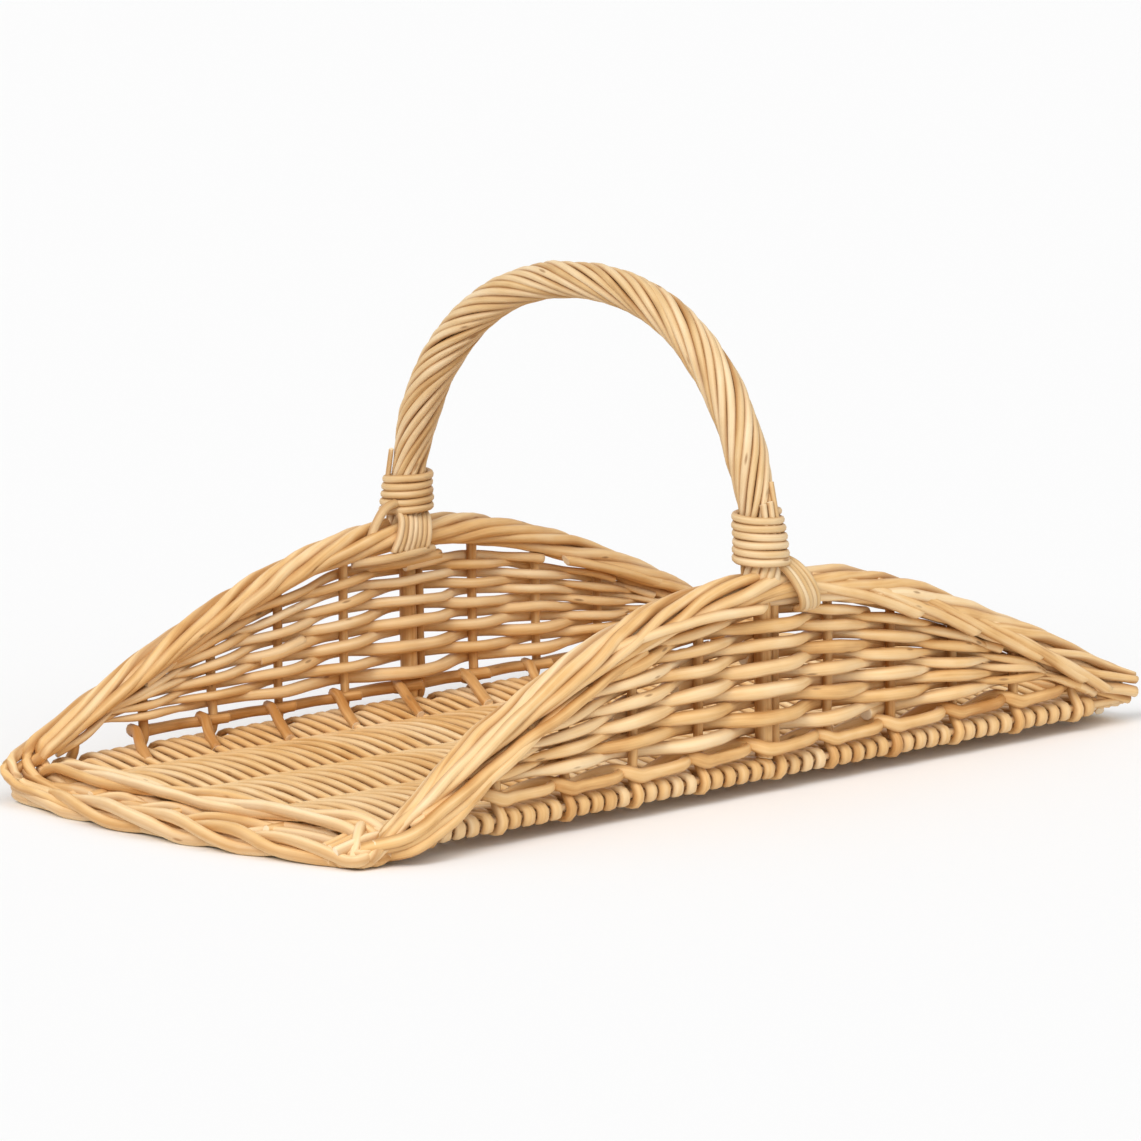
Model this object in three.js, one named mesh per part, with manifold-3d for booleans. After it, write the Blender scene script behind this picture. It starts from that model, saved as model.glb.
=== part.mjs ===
// Garden trug: a long shallow willow basket with open ends, two arched walls of woven rods
// and a fixed bow handle roped with thin withies.
// Millimetres, +Z up. X runs along the tray, Y across it. The origin is on the floor, under the centre.

import * as THREE from 'three';
import { mergeVertices } from 'three/addons/utils/BufferGeometryUtils.js';
import Module from 'manifold-3d';

// Clearance between pieces that touch
const CLEARANCE = 0.3;

// Overall sizes of the tray
const TRAY_LENGTH = 560;
const WALL_SPAN = 274;
const FLOOR_GAP = 4.5;

// Base: lengthwise sticks and the rods woven across them
const BASE_STICK_COUNT = 5;
const BASE_STICK_DIAMETER = 5;
const BASE_WEAVER_DIAMETER = 4;
const BASE_TURNS_PER_STAKE = 5;
const WEAVER_TUCK_INSET = 12;
const WEAVER_TUCK_REACH = 4;

// End borders: a flat plait at each open end, bowed outwards
const BORDER_WIDTH = 26;
const BORDER_CORNER_WIDTH = 22;
const BORDER_HEIGHT = 17;
const BORDER_CORNER_HEIGHT = 10.7;
const BORDER_BOW = 15;
const BORDER_STRANDS = 4;
const BORDER_FOOT_INSET_SHARE = 0.12;
const BORDER_SIDE_SHARE = 0.4;
const BORDER_GROOVE_SHARE = 0.8;
const LEFT_CORNER_LIFT = 0;
const RIGHT_CORNER_LIFT = 8;

// Wall stakes, hooked round the edge sticks of the base
const STAKE_COUNT = 11;
const STAKE_END_INSET = 43.5;
const STAKE_DIAMETER = 5.5;

// Locking rods that run from the base out through each wall
const LOCK_ROD_DIAMETER = 6.2;
const LOCK_ROD_RISE = 3;
const LOCK_ROD_SLANT = 26;

// Woven rows of the walls
const ROW_COUNT = 11;
const ROW_DIAMETER = 5.5;
const ROW_GAP = 0.4;
const FIRST_ROW_GAP = 1.6;
const ROW_END_TAPER = 0.2;

// Rims: a twisted border of rods along the top of each wall
const RIM_RISE = 91;
const RIM_HEIGHT = 20;
const RIM_WIDTH = 25;
const RIM_TIP_HEIGHT = 14;
const RIM_TIP_WIDTH = 21;
const RIM_STRANDS = 5;
const RIM_TURNS = 2.5;

// Bow handle: a thick core rod inside a roping of thin withies, tied in at its feet
const HANDLE_HEIGHT = 268;
const HANDLE_FULLNESS = 2.2;
const HANDLE_LEAN = 6;
const HANDLE_CORE_DIAMETER = 9.5;
const CORE_HOLE_CLEARANCE = 0.8;
const ROPING_DIAMETER = 19.8;
const ROPING_SHOULDER_DIAMETER = 23;
const ROPING_TIED_DIAMETER = 18;
const ROPING_STRANDS = 8;
const ROPING_TURNS = 2.5;
const ROPING_GROOVE = 1.6;

// Bindings wound round the feet of the handle
const BINDING_ROD_DIAMETER = 3.6;
const BINDING_TURN_GAP = 0.7;
const BINDING_FLARE = 2.4;
const NEAR_BINDING_TURNS = 6;
const FAR_BINDING_TURNS = 5;

// Mesh fineness
const ROUND_SIDES = 6;
const THIN_SIDES = 5;
const WEAVER_SIDES = 4;
const HOLE_SIDES = 12;
const ARCH_STEPS = 24;
const RIM_STEPS = 26;
const BORDER_STEPS = 12;
const STEPS_PER_TURN = 18;
const STEPS_PER_STAKE = 3;
const HOOK_START_DEGREES = -90;
const HOOK_STEP_DEGREES = 30;
const HOOK_STEPS = 4;
const SEARCH_HALVINGS = 40;
const WELD_DISTANCE = 1e-4;

// Sizes that follow from the ones above
const HALF_LENGTH = TRAY_LENGTH / 2;
const WALL_Y = WALL_SPAN / 2;
const STICK_RADIUS = BASE_STICK_DIAMETER / 2;
const STAKE_RADIUS = STAKE_DIAMETER / 2;
const LOCK_RADIUS = LOCK_ROD_DIAMETER / 2;
const ROW_RADIUS = ROW_DIAMETER / 2;
const CORE_RADIUS = HANDLE_CORE_DIAMETER / 2;
const BINDING_RADIUS = BINDING_ROD_DIAMETER / 2;
const STAKE_PITCH = (TRAY_LENGTH - 2 * STAKE_END_INSET) / (STAKE_COUNT - 1);
const HOOK_HALF_STEP = THREE.MathUtils.degToRad(HOOK_STEP_DEGREES / 2);
const HOOK_RADIUS = (STICK_RADIUS + CLEARANCE + STAKE_RADIUS) / Math.cos(HOOK_HALF_STEP);
const STICK_Z = FLOOR_GAP + STAKE_RADIUS + HOOK_RADIUS;
const STICK_PITCH = WALL_SPAN / (BASE_STICK_COUNT - 1);
const MAT_HALF_HEIGHT = STICK_RADIUS + CLEARANCE + BASE_WEAVER_DIAMETER;
const MAT_TOP = STICK_Z + MAT_HALF_HEIGHT;
const MAT_EDGE = WALL_Y + MAT_HALF_HEIGHT;
const WEAVER_RADIUS = BASE_WEAVER_DIAMETER / 2;
const WEAVER_SWING = STICK_RADIUS + CLEARANCE + WEAVER_RADIUS;
const PASS_PITCH = STAKE_PITCH / (2 * BASE_TURNS_PER_STAKE);
const STICK_CORNER = Math.PI / 2 - (2 * Math.PI) / ROUND_SIDES;
const TURN_CLEAR_SHARE = Math.cos(STICK_CORNER) / (1 - Math.sin(STICK_CORNER));
const TURN_REACH = (STICK_RADIUS + CLEARANCE) * TURN_CLEAR_SHARE + WEAVER_RADIUS;
const BORDER_INNER_X = HALF_LENGTH - BORDER_CORNER_WIDTH;
const LOCK_TAIL_Z = MAT_TOP + CLEARANCE + LOCK_RADIUS;
const LOCK_Z = LOCK_TAIL_Z + LOCK_ROD_RISE;
const FIRST_ROW_Z = LOCK_Z + LOCK_RADIUS + FIRST_ROW_GAP + ROW_RADIUS;
const ROW_PITCH = ROW_DIAMETER + ROW_GAP;
const RIM_TIP_Z = BORDER_CORNER_HEIGHT + CLEARANCE + RIM_TIP_HEIGHT / 2;
const RIM_TOP = RIM_TIP_Z + RIM_RISE + RIM_HEIGHT / 2;
const CENTRE_STAKE_X = CORE_RADIUS + CLEARANCE + STAKE_RADIUS;
const HANDLE_SPRING_Z = RIM_TIP_Z + RIM_RISE;
const HANDLE_RISE = HANDLE_HEIGHT - ROPING_DIAMETER / 2 - HANDLE_SPRING_Z;
const ROPING_FOOT_Z = RIM_TOP + CLEARANCE;
const BINDING_PITCH = BINDING_ROD_DIAMETER + BINDING_TURN_GAP;
const BINDING_BOTTOM_Z = ROPING_FOOT_Z + BINDING_RADIUS + BINDING_TURN_GAP;
const BINDING_MOST_TURNS = Math.max(NEAR_BINDING_TURNS, FAR_BINDING_TURNS);
const BINDING_TOP_Z = BINDING_BOTTOM_Z + BINDING_MOST_TURNS * BINDING_PITCH + BINDING_ROD_DIAMETER;

const wasm = await Module();
wasm.setup();

const WILLOW = { roughness: 0.55, metalness: 0 };
const buff = new THREE.MeshStandardMaterial({ color: 0xdcb57f, ...WILLOW });
const honey = new THREE.MeshStandardMaterial({ color: 0xd1a468, ...WILLOW });
const pale = new THREE.MeshStandardMaterial({ color: 0xe8c894, ...WILLOW });

const trug = new THREE.Group();

function addPiece(name, geometry, material) {
  const piece = new THREE.Mesh(geometry, material);
  piece.name = name;
  trug.add(piece);
}

// Rings of equally many points, joined into one closed skin with a flat cap at each end
function skinRings(rings) {
  const sides = rings[0].length;
  const positions = rings.flat().flatMap((point) => [point.x, point.y, point.z]);
  const triangles = [];
  for (let ring = 0; ring + 1 < rings.length; ring += 1) {
    for (let side = 0; side < sides; side += 1) {
      const a = ring * sides + side;
      const b = ring * sides + ((side + 1) % sides);
      triangles.push(a, b, b + sides, a, b + sides, a + sides);
    }
  }
  const last = (rings.length - 1) * sides;
  for (let side = 1; side + 1 < sides; side += 1) {
    triangles.push(0, side + 1, side);
    triangles.push(last, last + side, last + side + 1);
  }
  const geometry = new THREE.BufferGeometry();
  geometry.setAttribute('position', new THREE.Float32BufferAttribute(positions, 3));
  geometry.setIndex(triangles);
  geometry.computeVertexNormals();
  return geometry;
}

// The direction of a path at one of its points, from the points on either side
function pathTangent(path, index) {
  const before = path[Math.max(index - 1, 0)];
  const after = path[Math.min(index + 1, path.length - 1)];
  return after.clone().sub(before).normalize();
}

// A round rod along a path. radiusAt gives its radius at each point, and across is a direction
// that the path is never parallel to.
function rod(path, radiusAt, sides, across) {
  const rings = path.map((centre, index) => {
    const tangent = pathTangent(path, index);
    const second = new THREE.Vector3().crossVectors(tangent, across).normalize();
    const first = new THREE.Vector3().crossVectors(second, tangent);
    return Array.from({ length: sides }, (_, side) => {
      const angle = (side / sides) * 2 * Math.PI;
      const radius = radiusAt(index);
      return centre
        .clone()
        .addScaledVector(first, radius * Math.cos(angle))
        .addScaledVector(second, radius * Math.sin(angle));
    });
  });
  return skinRings(rings);
}

function toSolid(geometry) {
  const bare = geometry.clone();
  bare.deleteAttribute('normal');
  bare.deleteAttribute('uv');
  const merged = mergeVertices(bare, WELD_DISTANCE);
  const mesh = new wasm.Mesh({
    numProp: 3,
    vertProperties: new Float32Array(merged.attributes.position.array),
    triVerts: new Uint32Array(merged.index.array),
  });
  return new wasm.Manifold(mesh);
}

function toGeometry(solid) {
  const mesh = solid.getMesh();
  const geometry = new THREE.BufferGeometry();
  geometry.setAttribute('position', new THREE.Float32BufferAttribute(mesh.vertProperties, 3));
  geometry.setIndex(Array.from(mesh.triVerts));
  geometry.computeVertexNormals();
  return geometry;
}

// The inner edge of an end border, bowed outwards across the tray
function borderInnerX(y) {
  return BORDER_INNER_X + BORDER_BOW * (1 - (y / MAT_EDGE) ** 2);
}

// How far the base reaches along X at a given place across it
function matEndX(y) {
  return borderInnerX(y) - CLEARANCE;
}

// The rim's centre line along the tray, and half its height and width
function rimShare(x) {
  return Math.cos((Math.PI * x) / TRAY_LENGTH);
}

function rimZ(x) {
  return RIM_TIP_Z + RIM_RISE * rimShare(x);
}

function rimHalfHeight(x) {
  return THREE.MathUtils.lerp(RIM_TIP_HEIGHT, RIM_HEIGHT, rimShare(x)) / 2;
}

function rimHalfWidth(x) {
  return THREE.MathUtils.lerp(RIM_TIP_WIDTH, RIM_WIDTH, rimShare(x)) / 2;
}

function rimUnderside(x) {
  return rimZ(x) - rimHalfHeight(x);
}

// Stakes stand at even steps, and the centre one stands beside the foot of the handle
function stakeX(index) {
  const fromCentre = index - (STAKE_COUNT - 1) / 2;
  return fromCentre === 0 ? CENTRE_STAKE_X : fromCentre * STAKE_PITCH;
}

// What the rods weave round: each stake, and the handle's foot and centre stake taken as one.
// start and end are the first and last places along the wall where a rod passes it at full offset.
const uprights = Array.from({ length: STAKE_COUNT }, (_, index) => {
  const x = stakeX(index);
  return x === CENTRE_STAKE_X
    ? { start: -STAKE_RADIUS, end: x, radius: CORE_RADIUS }
    : { start: x, end: x, radius: STAKE_RADIUS };
});

// Base sticks
function baseStick(y) {
  const end = matEndX(Math.abs(y) + STICK_RADIUS);
  const path = [new THREE.Vector3(-end, y, STICK_Z), new THREE.Vector3(end, y, STICK_Z)];
  return rod(path, () => STICK_RADIUS, ROUND_SIDES, new THREE.Vector3(0, 0, 1));
}

// Base weave: one long weaver, back and forth across the sticks. Even passes run to the near edge and
// lie over the edge sticks, odd ones run back under them, and each changes sides from stick to stick.
// The passes lean by one pitch from edge to edge, so that the turns of both edges stand face to face.
function weaverX(pass, y) {
  return (pass + y / WALL_SPAN) * PASS_PITCH;
}

function turnFits(pass, y, reach) {
  const outermost = Math.abs(weaverX(pass + 1 / 2, y)) + PASS_PITCH / 2 + WEAVER_RADIUS;
  return outermost < matEndX(Math.abs(y) + reach + WEAVER_RADIUS);
}

// The turn after a pass goes round the edge stick. Where a stake or an end border is in the way it is
// tucked in before the stick, or goes round the next stick. lift is a share of the full swing, and the
// chords of a full turn stay clear of the stick's corners.
function weaverTurn(pass) {
  const side = pass % 2 === 0 ? -1 : 1;
  const x = weaverX(pass + 1 / 2, side * WALL_Y);
  const staked = uprights.some((_, index) => Math.abs(stakeX(index) - x) < PASS_PITCH);
  if (!staked && turnFits(pass, side * WALL_Y, TURN_REACH)) {
    return { side, y: side * WALL_Y, lift: 1, reach: TURN_REACH };
  }
  const tuckY = side * (WALL_Y - WEAVER_TUCK_INSET);
  if (turnFits(pass, tuckY, WEAVER_TUCK_REACH)) {
    const lift = 1 - (2 * WEAVER_TUCK_INSET) / STICK_PITCH;
    return { side, y: tuckY, lift, reach: WEAVER_TUCK_REACH };
  }
  return { side, y: side * (WALL_Y - STICK_PITCH), lift: -1, reach: TURN_REACH };
}

// The base has as many passes as fit before the turn round the second stick meets the border
function lastPass() {
  let pass = 0;
  while (turnFits(pass + 1, WALL_Y - STICK_PITCH, TURN_REACH)) {
    pass += 2;
  }
  return pass;
}

function baseWeave() {
  const last = lastPass();
  const path = [];
  const place = (pass, y, lift) => {
    const sign = pass % 2 === 0 ? 1 : -1;
    path.push(new THREE.Vector3(weaverX(pass, y), y, STICK_Z + sign * lift * WEAVER_SWING));
  };
  for (let pass = -last; pass <= last; pass += 1) {
    const turn = weaverTurn(pass);
    const startY = pass > -last ? Math.abs(weaverTurn(pass - 1).y) : WALL_Y;
    const endY = pass < last ? Math.abs(turn.y) : WALL_Y;
    for (let stick = 1; stick + 1 < BASE_STICK_COUNT; stick += 1) {
      const along = -WALL_Y + stick * STICK_PITCH;
      if (along > -startY && along < endY) {
        place(pass, turn.side * along, stick % 2 === 0 ? 1 : -1);
      }
    }
    if (pass < last) {
      place(pass, turn.y, turn.lift);
      const outside = turn.y + turn.side * turn.reach;
      path.push(new THREE.Vector3(weaverX(pass + 1 / 2, turn.y), outside, STICK_Z));
      place(pass + 1, turn.y, turn.lift);
    }
  }
  return rod(path, () => WEAVER_RADIUS, WEAVER_SIDES, new THREE.Vector3(1, 0, 0));
}

// A stake: from under the edge stick, round its outside and straight up to the rim
function stake(side, index) {
  const x = stakeX(index);
  const top = rimUnderside(Math.abs(x) + STAKE_RADIUS) - CLEARANCE;
  const path = Array.from({ length: HOOK_STEPS + 1 }, (_, step) => {
    const angle = THREE.MathUtils.degToRad(HOOK_START_DEGREES + step * HOOK_STEP_DEGREES);
    const y = side * (WALL_Y + HOOK_RADIUS * Math.cos(angle));
    return new THREE.Vector3(x, y, STICK_Z + HOOK_RADIUS * Math.sin(angle));
  });
  path.push(new THREE.Vector3(x, side * WALL_Y, MAT_TOP + CLEARANCE));
  path.push(new THREE.Vector3(x, side * WALL_Y, top));
  return rod(path, () => STAKE_RADIUS, THIN_SIDES, new THREE.Vector3(1, 0, 0));
}

// One locking rod: tucked on the base, out between two stakes, and along the front of the next
function lockRod(side, index) {
  const upright = uprights[index];
  const between = (uprights[index - 1].end + upright.start) / 2;
  const next = (upright.end + uprights[index + 1].start) / 2;
  const firstRidge = WALL_Y - STICK_PITCH;
  const front = WALL_Y + upright.radius + CLEARANCE + LOCK_RADIUS;
  const path = [
    [between - LOCK_ROD_SLANT, firstRidge, LOCK_TAIL_Z],
    [between - LOCK_RADIUS, WALL_Y - LOCK_ROD_DIAMETER, LOCK_TAIL_Z],
    [between, WALL_Y, (LOCK_TAIL_Z + LOCK_Z) / 2],
    [upright.start - STAKE_DIAMETER, front, LOCK_Z],
    [upright.end + STAKE_DIAMETER, front, LOCK_Z],
    [next, WALL_Y, (LOCK_TAIL_Z + LOCK_Z) / 2],
  ];
  const points = path.map(([x, y, z]) => new THREE.Vector3(x, side * y, z));
  return rod(points, () => LOCK_RADIUS, THIN_SIDES, new THREE.Vector3(0, 0, 1));
}

// All the locking rods of a wall hold on to one another and make one piece
function lockRods(side) {
  let joined = toSolid(lockRod(side, 1));
  for (let index = 2; index < STAKE_COUNT - 1; index += 1) {
    joined = joined.add(toSolid(lockRod(side, index)));
  }
  return toGeometry(joined);
}

// Rows thin out and draw together towards the ends of the wall
function rowScale(x) {
  return 1 - ROW_END_TAPER * (x / HALF_LENGTH) ** 2;
}

function rowZ(row, x) {
  return FIRST_ROW_Z + row * ROW_PITCH * rowScale(x);
}

// The place along the wall where a row runs in under the rim
function rowEndX(row) {
  let inside = 0;
  let outside = HALF_LENGTH;
  for (let halving = 0; halving < SEARCH_HALVINGS; halving += 1) {
    const middle = (inside + outside) / 2;
    const top = rowZ(row, middle) + ROW_RADIUS * rowScale(middle) + CLEARANCE;
    if (top < rimUnderside(middle)) {
      inside = middle;
    } else {
      outside = middle;
    }
  }
  return inside;
}

// A row passes in front of one upright and behind the next, and swings over in between.
// Each point is a place along the wall and how far the row stands off the wall's plane there.
function rowPoints(row) {
  const points = [];
  uprights.forEach((upright, index) => {
    const swing = (index + row) % 2 === 0 ? 1 : -1;
    const offset = swing * (upright.radius + CLEARANCE + ROW_RADIUS);
    points.push({ x: upright.start, offset });
    if (upright.end > upright.start) {
      points.push({ x: upright.end, offset });
    }
    const next = uprights[index + 1];
    if (next) {
      const nextOffset = -swing * (next.radius + CLEARANCE + ROW_RADIUS);
      for (let step = 1; step < STEPS_PER_STAKE; step += 1) {
        const share = step / STEPS_PER_STAKE;
        const blend = (1 - Math.cos(Math.PI * share)) / 2;
        const x = upright.end + share * (next.start - upright.end);
        points.push({ x, offset: offset + blend * (nextOffset - offset) });
      }
    }
  });
  return points;
}

// How far a row stands off at any place between two of its points
function offsetAt(points, x) {
  const next = points.findIndex((point) => point.x >= x);
  if (next <= 0) {
    return points.at(next).offset;
  }
  const [a, b] = [points[next - 1], points[next]];
  return THREE.MathUtils.lerp(a.offset, b.offset, (x - a.x) / (b.x - a.x));
}

function wallRow(side, row) {
  const end = rowEndX(row);
  const points = rowPoints(row);
  const inside = points.filter((point) => Math.abs(point.x) < end - CLEARANCE);
  const left = { x: -end, offset: offsetAt(points, -end) };
  const right = { x: end, offset: offsetAt(points, end) };
  const kept = [left, ...inside, right];
  const path = kept.map(({ x, offset }) => new THREE.Vector3(x, side * (WALL_Y + offset), rowZ(row, x)));
  const radiusAt = (index) => ROW_RADIUS * rowScale(kept[index].x);
  return rod(path, radiusAt, THIN_SIDES, new THREE.Vector3(0, 0, 1));
}

// A round hole, upright through a wall's rim, for the foot of the handle's core
function coreHole(side) {
  const radius = (CORE_RADIUS + CORE_HOLE_CLEARANCE) / Math.cos(Math.PI / HOLE_SIDES);
  const hole = new THREE.CylinderGeometry(radius, radius, 2 * RIM_HEIGHT, HOLE_SIDES);
  hole.rotateX(Math.PI / 2);
  hole.translate(0, side * WALL_Y, rimZ(0));
  return toSolid(hole);
}

// Rim: a bundle of rods that turn slowly round one another as they run along the wall's arch
function rim(side) {
  const rings = [];
  for (let step = 0; step <= RIM_STEPS; step += 1) {
    const x = -HALF_LENGTH + (step / RIM_STEPS) * TRAY_LENGTH;
    const twist = (step / RIM_STEPS) * RIM_TURNS * 2 * Math.PI;
    const points = 2 * RIM_STRANDS;
    rings.push(Array.from({ length: points }, (_, index) => {
      const angle = (index / points) * 2 * Math.PI + side * twist;
      const reach = index % 2 === 0 ? 1 : Math.cos(Math.PI / RIM_STRANDS);
      const y = side * WALL_Y + reach * rimHalfWidth(x) * Math.cos(angle);
      return new THREE.Vector3(x, y, rimZ(x) + reach * rimHalfHeight(x) * Math.sin(angle));
    }));
  }
  return toGeometry(toSolid(skinRings(rings)).subtract(coreHole(side)));
}

// End border: a flat plait whose strands show as lobes along its top. Its middle stands on the floor,
// and cornerLift is how far its two corners curve up from it. The section's points are shares of its
// width and of its height.
function endBorder(end, cornerLift) {
  const rings = [];
  for (let step = 0; step <= BORDER_STEPS; step += 1) {
    const across = (2 * step) / BORDER_STEPS - 1;
    const y = across * MAT_EDGE;
    const middle = 1 - across ** 2;
    const width = THREE.MathUtils.lerp(BORDER_CORNER_WIDTH, BORDER_WIDTH, middle);
    const top = THREE.MathUtils.lerp(BORDER_CORNER_HEIGHT, BORDER_HEIGHT, middle);
    const bottom = cornerLift * Math.max(2 * Math.abs(across) - 1, 0) ** 2;
    const section = [
      [BORDER_FOOT_INSET_SHARE, 0],
      [1 - BORDER_FOOT_INSET_SHARE, 0],
      [1, BORDER_SIDE_SHARE],
    ];
    for (let strand = BORDER_STRANDS - 1; strand >= 0; strand -= 1) {
      section.push([(strand + 1 / 2) / BORDER_STRANDS, 1]);
      if (strand > 0) {
        section.push([strand / BORDER_STRANDS, BORDER_GROOVE_SHARE]);
      }
    }
    section.push([0, BORDER_SIDE_SHARE]);
    rings.push(section.map(([along, up]) => new THREE.Vector3(
      end * (borderInnerX(y) + along * width),
      y,
      THREE.MathUtils.lerp(bottom, top, up),
    )));
  }
  return skinRings(end > 0 ? rings.reverse() : rings);
}

// The bow springs from the rims as half an ellipse, a little fuller at its shoulders, and its crown
// leans towards the near wall. Its stations are angles along it: the roping's foot, the middle and
// top of the binding, then even steps over to the other side.
function bowAngle(z) {
  const share = (z - HANDLE_SPRING_Z) / HANDLE_RISE;
  return Math.asin(share ** (HANDLE_FULLNESS / 2));
}

function bowPoint(angle) {
  const out = Math.cos(angle);
  const up = Math.max(Math.sin(angle), 0);
  const reach = Math.sign(out) * Math.abs(out) ** (2 / HANDLE_FULLNESS);
  const y = -WALL_Y * reach - HANDLE_LEAN * up ** 2;
  return new THREE.Vector3(0, y, HANDLE_SPRING_Z + HANDLE_RISE * up ** (2 / HANDLE_FULLNESS));
}

function bowStations() {
  const foot = bowAngle(ROPING_FOOT_Z);
  const tie = bowAngle(BINDING_TOP_Z);
  const stations = [foot, (foot + tie) / 2];
  for (let step = 0; step <= ARCH_STEPS; step += 1) {
    stations.push(THREE.MathUtils.lerp(tie, Math.PI - tie, step / ARCH_STEPS));
  }
  stations.push(Math.PI - stations[1], Math.PI - foot);
  return stations;
}

// The core: one rod from the base up through one rim, over the bow and down through the other
function handleCore() {
  const bow = [0, ...bowStations(), Math.PI].map(bowPoint);
  const foot = MAT_TOP + CLEARANCE;
  const path = [new THREE.Vector3(0, -WALL_Y, foot), ...bow, new THREE.Vector3(0, WALL_Y, foot)];
  return rod(path, () => CORE_RADIUS, ROUND_SIDES, new THREE.Vector3(1, 0, 0));
}

// The roping spreads at its feet, is tied in by the bindings, and swells to its shoulders above them
function ropingRadii(stations) {
  const tied = ROPING_TIED_DIAMETER / 2;
  const radii = stations.map((angle) => {
    const share = (Math.sin(angle) - Math.sin(stations[3])) / (1 - Math.sin(stations[3]));
    return THREE.MathUtils.lerp(ROPING_SHOULDER_DIAMETER, ROPING_DIAMETER, share) / 2;
  });
  const feet = [tied + BINDING_FLARE, tied + BINDING_FLARE / 2, tied];
  feet.forEach((radius, index) => {
    radii[index] = radius;
    radii[radii.length - 1 - index] = radius;
  });
  return radii;
}

// Roping: withies laid round the core, as one sleeve with a groove between each pair of strands.
// The bore turns with the strands, so it is opened by what its flat sides take off its radius.
function handleRoping() {
  const stations = bowStations();
  const line = stations.map(bowPoint);
  const radii = ropingRadii(stations);
  const points = 2 * ROPING_STRANDS;
  const stepTwist = (ROPING_TURNS * 2 * Math.PI) / (line.length - 1);
  const boreRadius = (CORE_RADIUS + CLEARANCE) / Math.cos(Math.PI / points) / Math.cos(stepTwist / 2);
  const first = new THREE.Vector3(1, 0, 0);
  const rings = (radiusOf) => line.map((centre, index) => {
    const second = new THREE.Vector3().crossVectors(pathTangent(line, index), first);
    return Array.from({ length: points }, (_, point) => {
      const angle = (point / points) * 2 * Math.PI + index * stepTwist;
      const radius = radiusOf(index, point);
      return centre
        .clone()
        .addScaledVector(first, radius * Math.cos(angle))
        .addScaledVector(second, radius * Math.sin(angle));
    });
  });
  const outer = rings((index, point) => radii[index] - (point % 2) * ROPING_GROOVE);
  return skinSleeve(outer, rings(() => boreRadius));
}

// A sleeve: an outer skin and a bore of equally many points, joined by a flat ring at each end
function skinSleeve(outer, bore) {
  const sides = outer[0].length;
  const loops = [...outer, ...bore.slice().reverse()];
  const positions = loops.flat().flatMap((point) => [point.x, point.y, point.z]);
  const triangles = [];
  for (let loop = 0; loop < loops.length; loop += 1) {
    const here = loop * sides;
    const there = ((loop + 1) % loops.length) * sides;
    for (let side = 0; side < sides; side += 1) {
      const next = (side + 1) % sides;
      triangles.push(here + side, here + next, there + next, here + side, there + next, there + side);
    }
  }
  const geometry = new THREE.BufferGeometry();
  geometry.setAttribute('position', new THREE.Float32BufferAttribute(positions, 3));
  geometry.setIndex(triangles);
  geometry.computeVertexNormals();
  return geometry;
}

// Binding: one thin rod wound upwards round a foot of the handle, wider at the bottom.
// Each end runs straight for one rod diameter.
function binding(name, side, turns) {
  const steps = turns * STEPS_PER_TURN;
  const flatSide = Math.cos(Math.PI / STEPS_PER_TURN);
  const inner = (ROPING_TIED_DIAMETER / 2 + 2 * CLEARANCE + BINDING_RADIUS) / flatSide;
  const path = [];
  for (let step = 0; step <= steps; step += 1) {
    const angle = (step / STEPS_PER_TURN) * 2 * Math.PI;
    const climb = (step / STEPS_PER_TURN) * BINDING_PITCH;
    const legAngle = bowAngle(BINDING_BOTTOM_Z + climb);
    const centre = bowPoint(side < 0 ? legAngle : Math.PI - legAngle);
    const reach = inner + BINDING_FLARE * (1 - climb / (BINDING_TOP_Z - BINDING_BOTTOM_Z));
    const y = centre.y + side * reach * Math.sin(angle);
    path.push(new THREE.Vector3(reach * Math.cos(angle), y, centre.z));
  }
  const gap = leastTurnGap(path);
  console.log(`${name}: ${turns} turns, least gap between turns ${gap.toFixed(2)} mm`);
  const startRun = path[0].clone().sub(path[1]).setLength(BINDING_ROD_DIAMETER);
  const endRun = path[steps].clone().sub(path[steps - 1]).setLength(BINDING_ROD_DIAMETER);
  path.unshift(path[0].clone().add(startRun));
  path.push(path[steps + 1].clone().add(endRun));
  return rod(path, () => BINDING_RADIUS, THIN_SIDES, new THREE.Vector3(0, 0, 1));
}

// The least gap between the skins of two turns, measured on the points of the winding
function leastTurnGap(path) {
  let least = Infinity;
  for (let a = 0; a < path.length; a += 1) {
    for (let b = a + STEPS_PER_TURN / 2; b < path.length; b += 1) {
      least = Math.min(least, path[a].distanceTo(path[b]) - BINDING_ROD_DIAMETER);
    }
  }
  return least;
}

function twoDigits(number) {
  return String(number).padStart(2, '0');
}

for (let stick = 0; stick < BASE_STICK_COUNT; stick += 1) {
  addPiece(`base_stick_${stick + 1}`, baseStick(-WALL_Y + stick * STICK_PITCH), honey);
}
addPiece('base_weave', baseWeave(), buff);
addPiece('left_end_border', endBorder(-1, LEFT_CORNER_LIFT), pale);
addPiece('right_end_border', endBorder(1, RIGHT_CORNER_LIFT), pale);

for (const [wall, side] of [['near', -1], ['far', 1]]) {
  for (let index = 0; index < STAKE_COUNT; index += 1) {
    addPiece(`${wall}_stake_${twoDigits(index + 1)}`, stake(side, index), honey);
  }
  addPiece(`${wall}_lock_rods`, lockRods(side), pale);
  for (let row = 0; row < ROW_COUNT; row += 1) {
    addPiece(`${wall}_row_${twoDigits(row + 1)}`, wallRow(side, row), buff);
  }
  addPiece(`${wall}_rim`, rim(side), pale);
}

addPiece('handle_core', handleCore(), honey);
addPiece('handle_roping', handleRoping(), buff);
addPiece('near_binding', binding('near_binding', -1, NEAR_BINDING_TURNS), pale);
addPiece('far_binding', binding('far_binding', 1, FAR_BINDING_TURNS), pale);

export default trug;
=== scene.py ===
"""Visual model of a garden trug in buff willow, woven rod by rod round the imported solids.

Lengths are in millimetres until a piece's mesh is made, and the meshes are in metres. X runs along
the tray, Y across it towards the far wall, and Z up from the floor.
"""

from __future__ import annotations

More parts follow.
